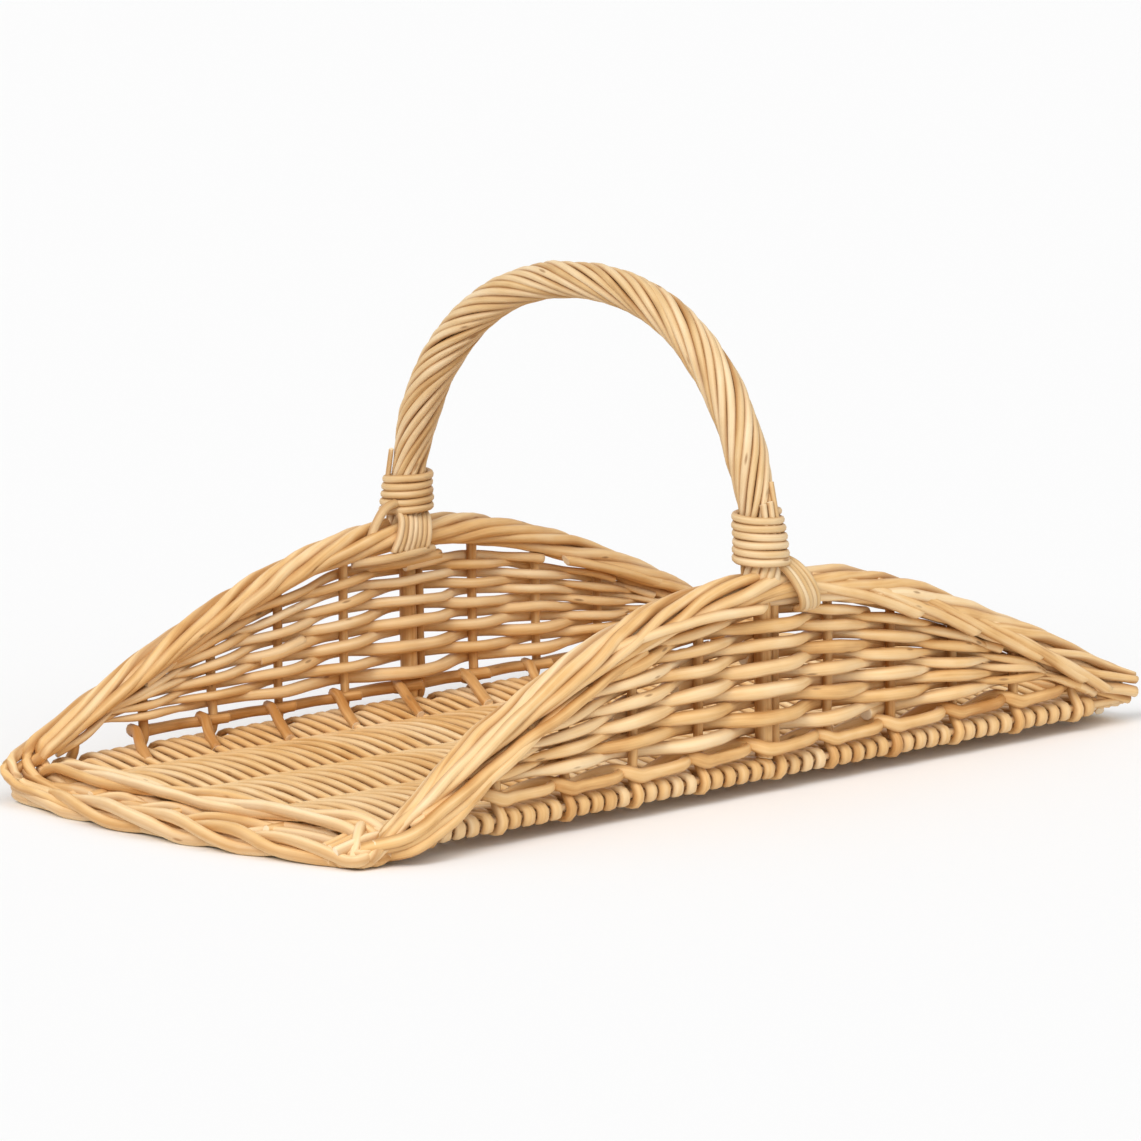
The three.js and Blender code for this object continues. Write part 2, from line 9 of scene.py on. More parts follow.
import logging
from dataclasses import dataclass, field
from enum import Enum
from typing import NamedTuple

import bpy
import numpy as np
from mathutils import Matrix, Vector
from numpy.typing import NDArray

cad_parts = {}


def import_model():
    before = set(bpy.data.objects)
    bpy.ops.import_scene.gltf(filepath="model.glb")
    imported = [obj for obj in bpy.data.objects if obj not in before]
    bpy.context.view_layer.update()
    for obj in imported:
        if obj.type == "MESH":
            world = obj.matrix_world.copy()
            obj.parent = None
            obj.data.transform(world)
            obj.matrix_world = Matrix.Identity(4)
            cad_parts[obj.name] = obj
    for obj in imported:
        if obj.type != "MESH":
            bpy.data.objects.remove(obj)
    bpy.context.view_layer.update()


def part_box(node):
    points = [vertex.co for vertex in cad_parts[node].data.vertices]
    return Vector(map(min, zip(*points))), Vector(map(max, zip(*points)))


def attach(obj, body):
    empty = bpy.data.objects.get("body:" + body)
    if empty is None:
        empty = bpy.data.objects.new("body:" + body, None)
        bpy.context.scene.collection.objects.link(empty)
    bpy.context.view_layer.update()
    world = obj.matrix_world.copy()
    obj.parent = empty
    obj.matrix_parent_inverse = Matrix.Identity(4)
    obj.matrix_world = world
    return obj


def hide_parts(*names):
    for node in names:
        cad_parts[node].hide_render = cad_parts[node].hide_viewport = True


LOG = logging.getLogger("trug")
BODY = "root"
MM = 0.001

Floats = NDArray[np.float64]
Ints = NDArray[np.int64]
Pair = tuple[float, float]
Triple = tuple[float, float, float]
Socket = bpy.types.NodeSocket

ALONG_X = np.array([1.0, 0.0, 0.0])
UPWARDS = np.array([0.0, 0.0, 1.0])


class Labelled(Enum):
    """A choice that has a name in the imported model."""

    @property
    def label(self) -> str:
        """The choice's name there."""
        return self.name.lower()


class Side(Labelled):
    """The two long walls, by the sign of their Y."""

    NEAR = -1
    FAR = 1


class End(Labelled):
    """The two open ends, by the sign of their X."""

    LEFT = -1
    RIGHT = 1


class Tip(Enum):
    """How a rim's strands end at one of its tips."""

    CUT = "cut off past the tip"
    TURNED = "turned round the corner into the end border"
    GROUNDED = "brought down to the floor at the corner"


def unit(vectors: Floats) -> Floats:
    """Divides each vector, along the last axis, by its length."""
    return vectors / np.linalg.norm(vectors, axis=-1, keepdims=True)


def arc_lengths(path: Floats) -> Floats:
    """Returns the running sum of the distances between a path's neighbouring points."""
    return np.concatenate([[0.0], np.cumsum(np.linalg.norm(np.diff(path, axis=0), axis=1))])


def smooth_curve(points: Floats, steps: int) -> Floats:
    """Carries a smooth curve through a few points.

    Between two points b and c, with a before and d after them, the curve is half of
    2b + (c - a)t + (2a - 5b + 4c - d)t^2 + (3b - a - 3c + d)t^3 for t from 0 to 1.

    Args:
        points: The points, shape (m, 3).
        steps: Steps from each point to the next.

    Returns:
        Points of the curve, shape ((m - 1) * steps + 1, 3).
    """
    points = np.asarray(points, float)
    ends = np.vstack([2 * points[0] - points[1], points, 2 * points[-1] - points[-2]])
    a, b, c, d = ends[:-3, None], ends[1:-2, None], ends[2:-1, None], ends[3:, None]
    t = np.linspace(0, 1, steps, endpoint=False)[None, :, None]
    curve = 2 * b + (c - a) * t + (2 * a - 5 * b + 4 * c - d) * t**2 + (3 * b - a - 3 * c + d) * t**3
    return np.vstack([curve.reshape(-1, 3) / 2, points[-1:]])


def even_steps(path: Floats, step: float) -> Floats:
    """Places points at even distances along a path.

    Args:
        path: Points of the path, shape (n, 3).
        step: Distance from one new point to the next.

    Returns:
        The new points, which keep the path's two ends.
    """
    along = arc_lengths(path)
    places = np.linspace(0, along[-1], max(int(along[-1] / step), 3))
    return np.stack([np.interp(places, along, path[:, axis]) for axis in range(3)], axis=1)


def tangents(path: Floats) -> Floats:
    """Returns the unit direction of a path at each of its points."""
    return unit(np.gradient(path, axis=0))


def level_across(path: Floats) -> Floats:
    """Returns the level direction square to a path at each of its points."""
    return np.cross(tangents(path), UPWARDS)


def bell(distance: Floats, width: float) -> Floats:
    """A smooth bump that is 1 at no distance: exp(-(distance / width)^2)."""
    return np.exp(-((distance / width) ** 2))


def lower_of(a: Floats, b: Floats, softness: float) -> Floats:
    """Takes the lower of two heights with a rounded change from one to the other.

    The result is minus softness times the log of exp(-a / softness) + exp(-b / softness).

    Args:
        a: First heights.
        b: Second heights.
        softness: How far apart the heights are where the rounding ends.

    Returns:
        The lower heights.
    """
    return -softness * np.logaddexp(-a / softness, -b / softness)


class RodSkin(NamedTuple):
    """Surface of one rod: its points, its faces and what its finish reads at each point."""

    points: Floats
    quads: Ints
    fans: Ints
    grain: Floats
    cut: Floats
    painted_shade: Floats
    quad_places: Floats
    fan_places: Floats
    strip_length: float
    strip_width: float


@dataclass
class Rod:
    """One willow rod swept along a path.

    Attributes:
        path: Points of its centre line, shape (n, 3).
        radius: Its radius at each point, shape (n,).
        across: A direction that the path is never parallel to, shape (3,) or (n, 3).
        tint: How pale the rod is, from 0 for honey to 1 for pale.
        sides: Points round its section.
        wide: The section's reach along ``across``, as a share of the radius.
        flat: The section's reach square to that, as a share of the radius.
        slants: How far the cut at each end leans, as a share of the radius.
        BEVEL: Size of the ring that closes an end, as a share of the section.
        PROUD: How far that ring stands out, as a share of the radius.
        GRAIN_SPREAD: How far apart the grain of a honey rod and of a pale one is read.
    """

    BEVEL = 0.84
    PROUD = 0.1
    GRAIN_SPREAD = 9000.0

    path: Floats
    radius: Floats
    across: Floats
    tint: float
    sides: int = 8
    wide: Floats | float = 1.0
    flat: Floats | float = 1.0
    slants: Pair = (0.0, 0.0)

    def skin(self) -> RodSkin:
        """Works out the rod's surface.

        Each path point carries a ring: the point plus radius times (wide cos a first + flat sin a
        second), where first is ``across`` made square to the path and second is square to both.
        A narrower ring and a centre point close each end. An end ring is also moved along the path
        by slant times radius times cos a, so that the cut leans.

        Returns:
            The rod's surface, with the place of each face corner on the rod's unrolled strip.
        """
        tangent = tangents(self.path)
        second = unit(np.cross(tangent, np.broadcast_to(self.across, self.path.shape)))
        first = np.cross(second, tangent)
        angle = np.linspace(0, 2 * np.pi, self.sides, endpoint=False)
        wide = (self.radius * self.wide)[:, None] * np.cos(angle)
        flat = (self.radius * self.flat)[:, None] * np.sin(angle)
        rings = self.path[:, None] + wide[..., None] * first[:, None] + flat[..., None] * second[:, None]
        caps = []
        for place, outwards, slant in ((0, -1.0, self.slants[0]), (-1, 1.0, self.slants[1])):
            way = outwards * tangent[place] * self.radius[place]
            rings[place] += slant * np.cos(angle)[:, None] * way
            caps.append(self.path[place] + self.BEVEL * (rings[place] - self.path[place]) + self.PROUD * way)
        rings = np.concatenate([caps[0][None], rings, caps[1][None]])
        tips = np.stack([caps[0].mean(axis=0), caps[1].mean(axis=0)])

        bevel = self.PROUD * self.radius[[0, -1]]
        along = arc_lengths(self.path)
        along = np.concatenate([[-bevel[0]], along, [along[-1] + bevel[1]]])
        cut = np.zeros(len(rings) * self.sides + 2)
        cut[: self.sides] = 1
        cut[-2 - self.sides :] = 1
        # Painted shade mask: 1 at the section's sides along across, where neighbouring rods lie, and 0 on
        # its faces.
        painted_shade = np.append(np.tile(np.cos(angle) ** 2, len(rings)), [0.0, 0.0])
        points = np.vstack([rings.reshape(-1, 3), tips])
        grain = self.grain(along, np.stack([wide, flat], axis=-1))
        return RodSkin(points, *self.faces(len(rings)), grain, cut, painted_shade, *self.strip(along))

    def grain(self, along: Floats, section: Floats) -> Floats:
        """Works out the rod's own coordinate: along the rod, then both ways across it.

        The part along the rod is moved on by its tint times the spread, so that no two rods have
        the same streaks.

        Args:
            along: Place of each ring along the rod, shape (n + 2,).
            section: Reach of the ring points both ways at each path point, shape (n, sides, 2).

        Returns:
            The coordinate of each point of the surface.
        """
        section = np.concatenate([section[:1], section, section[-1:]])
        lengthwise = np.broadcast_to(along[:, None, None], (*section.shape[:2], 1))
        grain = np.concatenate([lengthwise, section], axis=-1).reshape(-1, 3)
        grain = np.vstack([grain, [[along[0], 0, 0], [along[-1], 0, 0]]])
        grain[:, 0] += self.tint * self.GRAIN_SPREAD
        return grain

    def faces(self, ring_count: int) -> tuple[Ints, Ints]:
        """Lists the faces: four-cornered ones between rings, and a fan of triangles at each end.

        Args:
            ring_count: Number of rings with the two that close the ends.

        Returns:
            Point numbers of the four-cornered faces and of the triangles, which face outwards.
        """
        here = np.arange(self.sides)
        after = (here + 1) % self.sides
        base = np.arange(ring_count - 1)[:, None] * self.sides
        above = base + self.sides
        quads = np.stack([base + here, base + after, above + after, above + here], -1)
        last = (ring_count - 1) * self.sides
        start_tip = np.full(self.sides, ring_count * self.sides)
        fans = np.concatenate([
            np.stack([start_tip, after, here], -1),
            np.stack([start_tip + 1, last + here, last + after], -1),
        ])
        return quads.reshape(-1, 4), fans

    def strip(self, along: Floats) -> tuple[Floats, Floats, float, float]:
        """Unrolls the surface to a flat strip, as long as the rod and as wide as its way round.

        Args:
            along: Place of each ring along the rod, shape (n + 2,).

        Returns:
            Where the corners of the four-cornered faces and of the triangles lie on the strip, and
            the strip's length and width.
        """
        width = 2 * np.pi * float(self.radius.mean())
        edge = float(self.radius.max())
        u = along - along[0] + edge
        v = np.arange(self.sides + 1) / self.sides * width
        u_here, v_here = np.meshgrid(u[:-1], v[:-1], indexing="ij")
        u_next, v_next = np.meshgrid(u[1:], v[1:], indexing="ij")
        corners = [(u_here, v_here), (u_here, v_next), (u_next, v_next), (u_next, v_here)]
        quad_places = np.stack([np.stack(corner, -1) for corner in corners], axis=2)
        middle = (v[:-1] + v[1:]) / 2
        low, high = np.full(self.sides, u[0]), np.full(self.sides, u[-1])
        fans = (
            [(low - edge, middle), (low, v[1:]), (low, v[:-1])],
            [(high + edge, middle), (high, v[:-1]), (high, v[1:])],
        )
        fan_places = np.concatenate([
            np.stack([np.stack(corner, -1) for corner in fan], axis=1)
            for fan in fans
        ])
        return quad_places.reshape(-1, 2), fan_places.reshape(-1, 2), float(u[-1] + edge), width


class Hand:
    """The maker's hand: the seeded unevenness of rods and of where they lie.

    Attributes:
        FLOOR_GAP: Least room between a rod and the floor.
        WAVE_ORDERS: How many times shorter and smaller than the first each sine of a stray is.
        UNEVENNESS: How much a rod's girth strays, as a share of its radius.
        UNEVEN_LENGTH: Length of the longest sine of that.
        STRAY_LENGTH: Length of the longest sine of a rod's stray from its path.
        MOST_SLANT: The most that a cut end leans, as a share of the radius.
    """

    FLOOR_GAP = 0.15
    WAVE_ORDERS = (1.0, 1.9, 3.3)
    UNEVENNESS = 0.025
    UNEVEN_LENGTH = 60.0
    STRAY_LENGTH = 110.0
    MOST_SLANT = 0.3

    def __init__(self, seed: int) -> None:
        """Starts a row of random values that follows from a seed."""
        self.random = np.random.default_rng(seed)

    def between(self, low: float, high: float) -> float:
        """Returns a random value from low to high."""
        return float(self.random.uniform(low, high))

    def wander(self, along: Floats, amount: float, wavelength: float) -> Floats:
        """Strays smoothly from a line: three sines, each shorter and smaller than the last.

        Args:
            along: Distances along the line, shape (n,).
            amount: Size of the longest sine.
            wavelength: Length of the longest sine.

        Returns:
            The distance off the line at each place, shape (n,).
        """
        order = np.array(self.WAVE_ORDERS)[:, None]
        phase = self.random.uniform(0, 2 * np.pi, order.shape)
        return (np.sin(2 * np.pi * order * along / wavelength + phase) / order).sum(axis=0) * amount

    def rod(
        self,
        path: Floats,
        radius: float | Floats,
        across: Floats,
        *,
        sides: int = 8,
        stray: float = 0.3,
        taper: float = 0.1,
        wide: Floats | float = 1.0,
        flat: Floats | float = 1.0,
    ) -> Rod:
        """Makes a rod of uneven girth that strays a little from its path and stays above the floor.

        Args:
            path: Points of the centre line, shape (n, 3).
            radius: The rod's radius, or its radius at each point.
            across: A direction that the path is never parallel to.
            sides: Points round the section.
            stray: How far the rod strays from its path.
            taper: Share of its radius that the rod loses from its butt to its tip.
            wide: The section's reach along ``across``, as a share of the radius.
            flat: The section's reach square to that, as a share of the radius.

        Returns:
            The rod.
        """
        along = arc_lengths(path)
        share = along / along[-1]
        if self.random.random() < 0.5:
            share = 1 - share
        uneven = self.wander(along, self.UNEVENNESS, self.UNEVEN_LENGTH)
        girth = radius * (1 + taper * (0.5 - share) + uneven)
        offsets = np.stack([self.wander(along, stray, self.STRAY_LENGTH) for _ in range(3)], axis=1)
        most = self.MOST_SLANT
        slants = (self.between(-most, most), self.between(-most, most))
        placed = path + offsets
        placed[:, 2] = np.maximum(placed[:, 2], girth + self.FLOOR_GAP)
        return Rod(placed, girth, across, self.between(0, 1), sides, wide, flat, slants)


class Bench:
    """The node tree of a material or of the world, with short ways to add nodes to it."""

    def __init__(self, owner: bpy.types.Material | bpy.types.World) -> None:
        """Empties a node tree.

        Args:
            owner: The material or the world to lay out.
        """
        owner.use_nodes = True
        self.tree = owner.node_tree
        self.tree.nodes.clear()

    def node(self, kind: str, **settings: object) -> bpy.types.Node:
        """Adds a node.

        Args:
            kind: Blender's name of the node type.
            **settings: Properties to set on it.

        Returns:
            The node.
        """
        made = self.tree.nodes.new(kind)
        for name, value in settings.items():
            setattr(made, name, value)
        return made

    def link(self, source: Socket, target: Socket) -> None:
        """Joins an output to an input."""
        self.tree.links.new(source, target)

    def attribute(self, name: str, output: str) -> Socket:
        """Reads an attribute of the mesh from one of its node's outputs."""
        return self.node("ShaderNodeAttribute", attribute_name=name).outputs[output]

    def stretched(self, source: Socket, scale: Triple) -> Socket:
        """Scales a coordinate along each of its axes.

        Args:
            source: The coordinate.
            scale: Its scale along the rod and across it.

        Returns:
            The scaled coordinate.
        """
        mapping = self.node("ShaderNodeMapping")
        mapping.inputs["Scale"].default_value = scale
        self.link(source, mapping.inputs["Vector"])
        return mapping.outputs["Vector"]

    def noise(self, place: Socket, detail: float, roughness: float) -> Socket:
        """Adds a noise whose grain has a size of one in the given coordinate.

        Args:
            place: The coordinate.
            detail: Layers of finer noise.
            roughness: Strength of each finer layer.

        Returns:
            The noise, mostly from 0.25 to 0.75.
        """
        texture = self.node("ShaderNodeTexNoise")
        texture.inputs["Scale"].default_value = 1.0
        texture.inputs["Detail"].default_value = detail
        texture.inputs["Roughness"].default_value = roughness
        self.link(place, texture.inputs["Vector"])
        return texture.outputs[0]

    def math(
        self, operation: str, a: Socket, b: Socket | float, c: float = 0.0
    ) -> Socket:
        """Adds a sum.

        Args:
            operation: Blender's name of the sum.
            a: First value.
            b: Second value.
            c: Third value, where the sum has one.

        Returns:
            The result.
        """
        made = self.node("ShaderNodeMath", operation=operation)
        self.link(a, made.inputs[0])
        if isinstance(b, Socket):
            self.link(b, made.inputs[1])
        else:
            made.inputs[1].default_value = b
        made.inputs[2].default_value = c
        return made.outputs[0]

    def ranged(
        self, source: Socket, old: Pair, new: Pair
    ) -> Socket:
        """Maps one range of values to another.

        Args:
            source: The value.
            old: Its range.
            new: The range that it is mapped to.

        Returns:
            The mapped value.
        """
        made = self.node("ShaderNodeMapRange")
        self.link(source, made.inputs["Value"])
        for name, value in zip(("From Min", "From Max", "To Min", "To Max"), (*old, *new)):
            made.inputs[name].default_value = value
        return made.outputs["Result"]

    def blended(
        self, share: Socket, a: Socket, b: Triple
    ) -> Socket:
        """Mixes a colour with a plain one.

        Args:
            share: Share of the plain colour.
            a: The first colour.
            b: The plain colour.

        Returns:
            The mixed colour.
        """
        mix = self.node("ShaderNodeMix", data_type="RGBA")
        self.link(share, mix.inputs[0])
        self.link(a, mix.inputs[6])
        mix.inputs[7].default_value = (*b, 1.0)
        return mix.outputs[2]


@dataclass(frozen=True)
class WillowFinish:
    """Peeled willow: honey to pale, streaked along each rod, with small scars and pale cut ends.

    A rod's flanks, where it lies against its neighbours, carry painted shade: a brown that stands for the
    shade between the rods.

    Attributes:
        name: The material's name.
        slot: The record's slot that the finish stands for. It is not used.
        shades: Colours from the deepest to the palest.
        tint_spread: How much the rods differ from one another.
        lightness: How far the whole finish leans to its pale colours.
        painted_shade_strength: How dark the painted shade on the flanks is.
    """

    name: str
    slot: str
    shades: tuple[Triple, ...] = (
        (0.53, 0.25, 0.07),
        (0.77, 0.47, 0.19),
        (0.87, 0.61, 0.32),
        (0.93, 0.73, 0.46),
    )
    tint_spread: float = 0.45
    lightness: float = 0.0
    painted_shade_strength: float = 0.55
    SCAR_COLOUR = (0.30, 0.15, 0.06)
    # Colour of the painted shade on the rods' flanks, between neighbouring rods.
    PAINTED_SHADE_COLOUR = (0.37, 0.14, 0.025)
    CUT_COLOUR = (0.93, 0.79, 0.57)
    STREAK_SCALE = (14, 480, 480)  # per metre along a rod and across it
    PATCH_SCALE = (38, 90, 90)
    FIBRE_SCALE = (110, 2300, 2300)
    SCAR_SCALE = (26, 110, 110)
    MID_TONE = 0.12  # tone of a middling rod's deepest streaks
    STREAK_TONE = 0.75  # how much paler its palest streaks are
    PATCH_TONE = (-0.16, 0.16)
    MID_NOISE = (0.3, 0.7)  # range that most of a noise lies in
    SCAR_EDGE = (0.05, 0.1)  # where a scar begins to fade and where it ends
    SCAR_SHARE = 0.75
    PAINTED_SHADE_START = 0.35  # where the painted shade begins, from 0 at a rod's face to 1 at its side
    CUT_SHARE = 0.85
    ROUGHNESS = (0.42, 0.6)
    SPECULAR = 0.38
    FIBRE_RELIEF = 0.6
    RELIEF_SHARE = 0.35
    RELIEF_DEPTH = 0.0005

    def tones(self, bench: Bench, place: Socket, streaks: Socket) -> Socket:
        """Lays out the rods' colours: a ramp over the sum of streaks, patches and the rod's tint.

        Args:
            bench: The material's node tree.
            place: The rods' grain coordinate.
            streaks: Noise along the rods.

        Returns:
            The colour.
        """
        spread = self.tint_spread / 2
        tint = bench.ranged(bench.attribute("tint", "Fac"), (0, 1), (-spread, spread))
        patches = bench.noise(bench.stretched(place, self.PATCH_SCALE), 2.0, 0.5)
        tone = bench.math("MULTIPLY_ADD", streaks, self.STREAK_TONE, self.MID_TONE + self.lightness)
        tone = bench.math("ADD", tone, tint)
        tone = bench.math("ADD", tone, bench.ranged(patches, self.MID_NOISE, self.PATCH_TONE))
        ramp = bench.node("ShaderNodeValToRGB")
        colours = ramp.color_ramp.elements
        colours[0].position, colours[1].position = 0.0, 1.0
        colours.new(0.33)
        colours.new(0.66)
        for element, shade in zip(colours, self.shades):
            element.color = (*shade, 1.0)
        bench.link(tone, ramp.inputs["Fac"])
        return ramp.outputs["Color"]

    def marked(self, bench: Bench, place: Socket, colour: Socket) -> Socket:
        """Lays scars, painted shade on the flanks and bare cut ends over the rods' colours.

        Args:
            bench: The material's node tree.
            place: The rods' grain coordinate.
            colour: The rods' colours.

        Returns:
            The colour with its marks.
        """
        scars = bench.node("ShaderNodeTexVoronoi")
        scars.inputs["Scale"].default_value = 1.0
        bench.link(bench.stretched(place, self.SCAR_SCALE), scars.inputs["Vector"])
        scar = bench.ranged(scars.outputs["Distance"], self.SCAR_EDGE, (self.SCAR_SHARE, 0.0))
        # Painted shade: the flanks, where neighbouring rods touch, are darkened towards a brown.
        painted_shade = bench.attribute("painted_shade", "Fac")
        painted_shade = bench.ranged(painted_shade, (self.PAINTED_SHADE_START, 1.0), (0.0, self.painted_shade_strength))
        cut = bench.math("MULTIPLY", bench.attribute("cut", "Fac"), self.CUT_SHARE)
        colour = bench.blended(scar, colour, self.SCAR_COLOUR)
        colour = bench.blended(painted_shade, colour, self.PAINTED_SHADE_COLOUR)
        return bench.blended(cut, colour, self.CUT_COLOUR)

    def material(self) -> bpy.types.Material:
        """Lays out the finish as nodes on the rods' own grain coordinate.

        Returns:
            The material.
        """
        material = bpy.data.materials.new(self.name)
        bench = Bench(material)
        place = bench.attribute("grain", "Vector")
        streaks = bench.noise(bench.stretched(place, self.STREAK_SCALE), 3.0, 0.6)
        fibres = bench.noise(bench.stretched(place, self.FIBRE_SCALE), 2.0, 0.6)
        shader = bench.node("ShaderNodeBsdfPrincipled")
        shader.inputs["Specular IOR Level"].default_value = self.SPECULAR
        shader.inputs["IOR"].default_value = 1.45
        colour = self.marked(bench, place, self.tones(bench, place, streaks))
        bench.link(colour, shader.inputs["Base Color"])
        rough = bench.ranged(streaks, self.MID_NOISE, self.ROUGHNESS)
        bench.link(rough, shader.inputs["Roughness"])
        relief = bench.math("ADD", bench.math("MULTIPLY", fibres, self.FIBRE_RELIEF), streaks)
        bump = bench.node("ShaderNodeBump")
        bump.inputs["Strength"].default_value = self.RELIEF_SHARE
        bump.inputs["Distance"].default_value = self.RELIEF_DEPTH
        bench.link(relief, bump.inputs["Height"])
        bench.link(bump.outputs["Normal"], shader.inputs["Normal"])
        output = bench.node("ShaderNodeOutputMaterial")
        bench.link(shader.outputs["BSDF"], output.inputs["Surface"])
        return material


class Workshop:
    """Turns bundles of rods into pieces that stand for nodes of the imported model.

    Attributes:
        STRIP_GAP: Room between two unrolled rods on a piece's map.
    """

    STRIP_GAP = 1.6

    def __init__(self) -> None:
        """Starts with no materials made."""
        self.materials: dict[str, bpy.types.Material] = {}

    def piece(self, name: str, rods: list[Rod], finish: WillowFinish, nodes: list[str]) -> None:
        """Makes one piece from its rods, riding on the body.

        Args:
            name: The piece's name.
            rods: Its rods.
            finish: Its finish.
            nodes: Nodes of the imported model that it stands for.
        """
        skins = [rod.skin() for rod in rods]
        counts = np.array([len(skin.points) for skin in skins])
        starts = np.concatenate([[0], np.cumsum(counts)[:-1]])
        quads = np.concatenate([skin.quads + start for skin, start in zip(skins, starts)])
        fans = np.concatenate([skin.fans + start for skin, start in zip(skins, starts)])
        points = np.concatenate([skin.points for skin in skins]) * MM
        mesh = bpy.data.meshes.new(name)
        mesh.from_pydata(points.tolist(), [], quads.tolist() + fans.tolist())
        smooth = np.arange(len(mesh.polygons)) < len(quads)
        mesh.polygons.foreach_set("use_smooth", smooth)
        grain = np.concatenate([skin.grain for skin in skins]) * MM
        mesh.attributes.new("grain", "FLOAT_VECTOR", "POINT").data.foreach_set("vector", grain.ravel())
        values = {
            "tint": np.repeat([rod.tint for rod in rods], counts),
            "cut": np.concatenate([skin.cut for skin in skins]),
            # painted shade on each rod's flanks, between neighbouring rods
            "painted_shade": np.concatenate([skin.painted_shade for skin in skins]),
        }
        for label, value in values.items():
            mesh.attributes.new(label, "FLOAT", "POINT").data.foreach_set("value", value)
        self.unroll(mesh, skins)
        mesh.update()

        if finish.name not in self.materials:
            self.materials[finish.name] = finish.material()
        mesh.materials.append(self.materials[finish.name])
        made = bpy.data.objects.new(name, mesh)
        bpy.context.scene.collection.objects.link(made)
        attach(made, BODY)
        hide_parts(*nodes)
        LOG.info("%s: %d rods, %d triangles", name, len(rods), 2 * len(quads) + len(fans))

    def unroll(self, mesh: bpy.types.Mesh, skins: list[RodSkin]) -> None:
        """Lays the unrolled rods as strips, one above another, on the mesh's map.

        Args:
            mesh: The mesh, whose faces follow the skins' order.
            skins: The rods' surfaces.
        """
        widths = np.array([skin.strip_width + self.STRIP_GAP for skin in skins])
        lifts = np.concatenate([[0], np.cumsum(widths)[:-1]]) + self.STRIP_GAP / 2
        size = np.array([max(skin.strip_length for skin in skins) + self.STRIP_GAP, widths.sum()])
        moves = [np.array([self.STRIP_GAP / 2, lift]) for lift in lifts]
        quad_places = [skin.quad_places + move for skin, move in zip(skins, moves)]
        fan_places = [skin.fan_places + move for skin, move in zip(skins, moves)]
        places = np.concatenate(quad_places + fan_places) / size
        mesh.uv_layers.new(name="OFBake").data.foreach_set("uv", places.ravel())


@dataclass
class Layout:
    """Main places of the trug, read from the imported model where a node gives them.

    Attributes:
        rim_tip_z: Height of a rim's centre line at its tips.
        rim_size: Height and width of a rim at its middle.
        rim_tip_size: Height and width of a rim at its tips.
        border_bow: How far an end border bows outwards.
        border_setback: How far before the rims' tips it begins at its corners.
        weave_share: Height of the woven base as a share of its solid's height.
        arch_power: How peaked the rims' arches are: 1 for a plain cosine, more for a steeper top.
        half_length: Distance of the rims' tips from the middle.
        rim_rise: How far a rim's centre line rises from its tips to its middle.
        wall_y: Distance of the walls and of the edge sticks from the middle.
        mat_edge: Distance of the base's long edges from the middle.
        mat_half_height: Half the height of the woven base.
    """

    rim_tip_z: float = 18.0
    rim_size: Pair = (20.0, 25.0)
    rim_tip_size: Pair = (16.0, 19.0)
    border_bow: float = 15.0
    border_setback: float = 22.0
    weave_share: float = 0.88
    arch_power: float = 1.15
    stake_count: int = 11
    row_count: int = 11
    stick_count: int = 5
    half_length: float = field(init=False)
    rim_rise: float = field(init=False)
    stick_y: Floats = field(init=False)
    stick_z: float = field(init=False)
    stick_radius: float = field(init=False)
    wall_y: float = field(init=False)
    stake_x: Floats = field(init=False)
    stake_radius: float = field(init=False)
    core_radius: float = field(init=False)
    mat_edge: float = field(init=False)
    mat_half_height: float = field(init=False)
    handle_top: float = field(init=False)

    def __post_init__(self) -> None:
        """Reads the nodes' boxes."""
        self.half_length, _, rim_top = self.box("near_rim")[1]
        self.rim_rise = rim_top - self.rim_size[0] / 2 - self.rim_tip_z
        sticks = np.array([self.box(f"base_stick_{number + 1}") for number in range(self.stick_count)])
        self.stick_y = sticks[..., 1].mean(axis=1)
        self.stick_z = sticks[0, :, 2].mean()
        self.stick_radius = np.ptp(sticks[0, :, 2]) / 2
        self.wall_y = float(self.stick_y[-1])
        stakes = np.array([self.box(f"near_stake_{number + 1:02d}") for number in range(self.stake_count)])
        self.stake_x = stakes[..., 0].mean(axis=1)
        self.stake_radius = np.ptp(stakes[0, :, 0]) / 2
        self.core_radius = np.ptp(self.box("handle_core")[:, 0]) / 2
        weave = self.box("base_weave")
        self.mat_edge = weave[1, 1]
        self.mat_half_height = self.weave_share * np.ptp(weave[:, 2]) / 2
        self.handle_top = self.box("handle_roping")[1, 2]

    @staticmethod
    def box(node: str) -> Floats:
        """Returns a node's lowest and highest corners in millimetres, shape (2, 3)."""
        low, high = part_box(node)
        return np.stack([np.array(low), np.array(high)]) / MM

    @property
    def mat_top(self) -> float:
        """Height of the base's upper side over its sticks."""
        return self.stick_z + self.mat_half_height

    @property
    def stick_pitch(self) -> float:
        """Distance from one base stick to the next."""
        return float(self.stick_y[1] - self.stick_y[0])

    def rim_share(self, x: Floats) -> Floats:
        """How far up its arch a rim is: the cosine that is 1 at the middle and 0 at the tips."""
        return np.cos(np.pi * x / (2 * self.half_length))

    def rim_z(self, x: Floats) -> Floats:
        """Height of a rim's centre line: its tip's height plus its rise times a power of the share."""
        return self.rim_tip_z + self.rim_rise * np.clip(self.rim_share(x), 0, 1) ** self.arch_power

    def rim_half(self, x: Floats) -> tuple[Floats, Floats]:
        """Half a rim's height and width, between the sizes of its tips and of its middle."""
        share = np.clip(self.rim_share(x), 0, 1)
        sizes = zip(self.rim_tip_size, self.rim_size)
        height, width = (tip + (middle - tip) * share for tip, middle in sizes)
        return height / 2, width / 2

    def rim_underside(self, x: Floats) -> Floats:
        """Height of a rim's underside."""
        return self.rim_z(x) - self.rim_half(x)[0]

    def border_inner_x(self, y: Floats) -> Floats:
        """Where an end border begins: a parabola across the tray that bows outwards."""
        corner = self.half_length - self.border_setback
        return corner + self.border_bow * (1 - (y / self.mat_edge) ** 2)


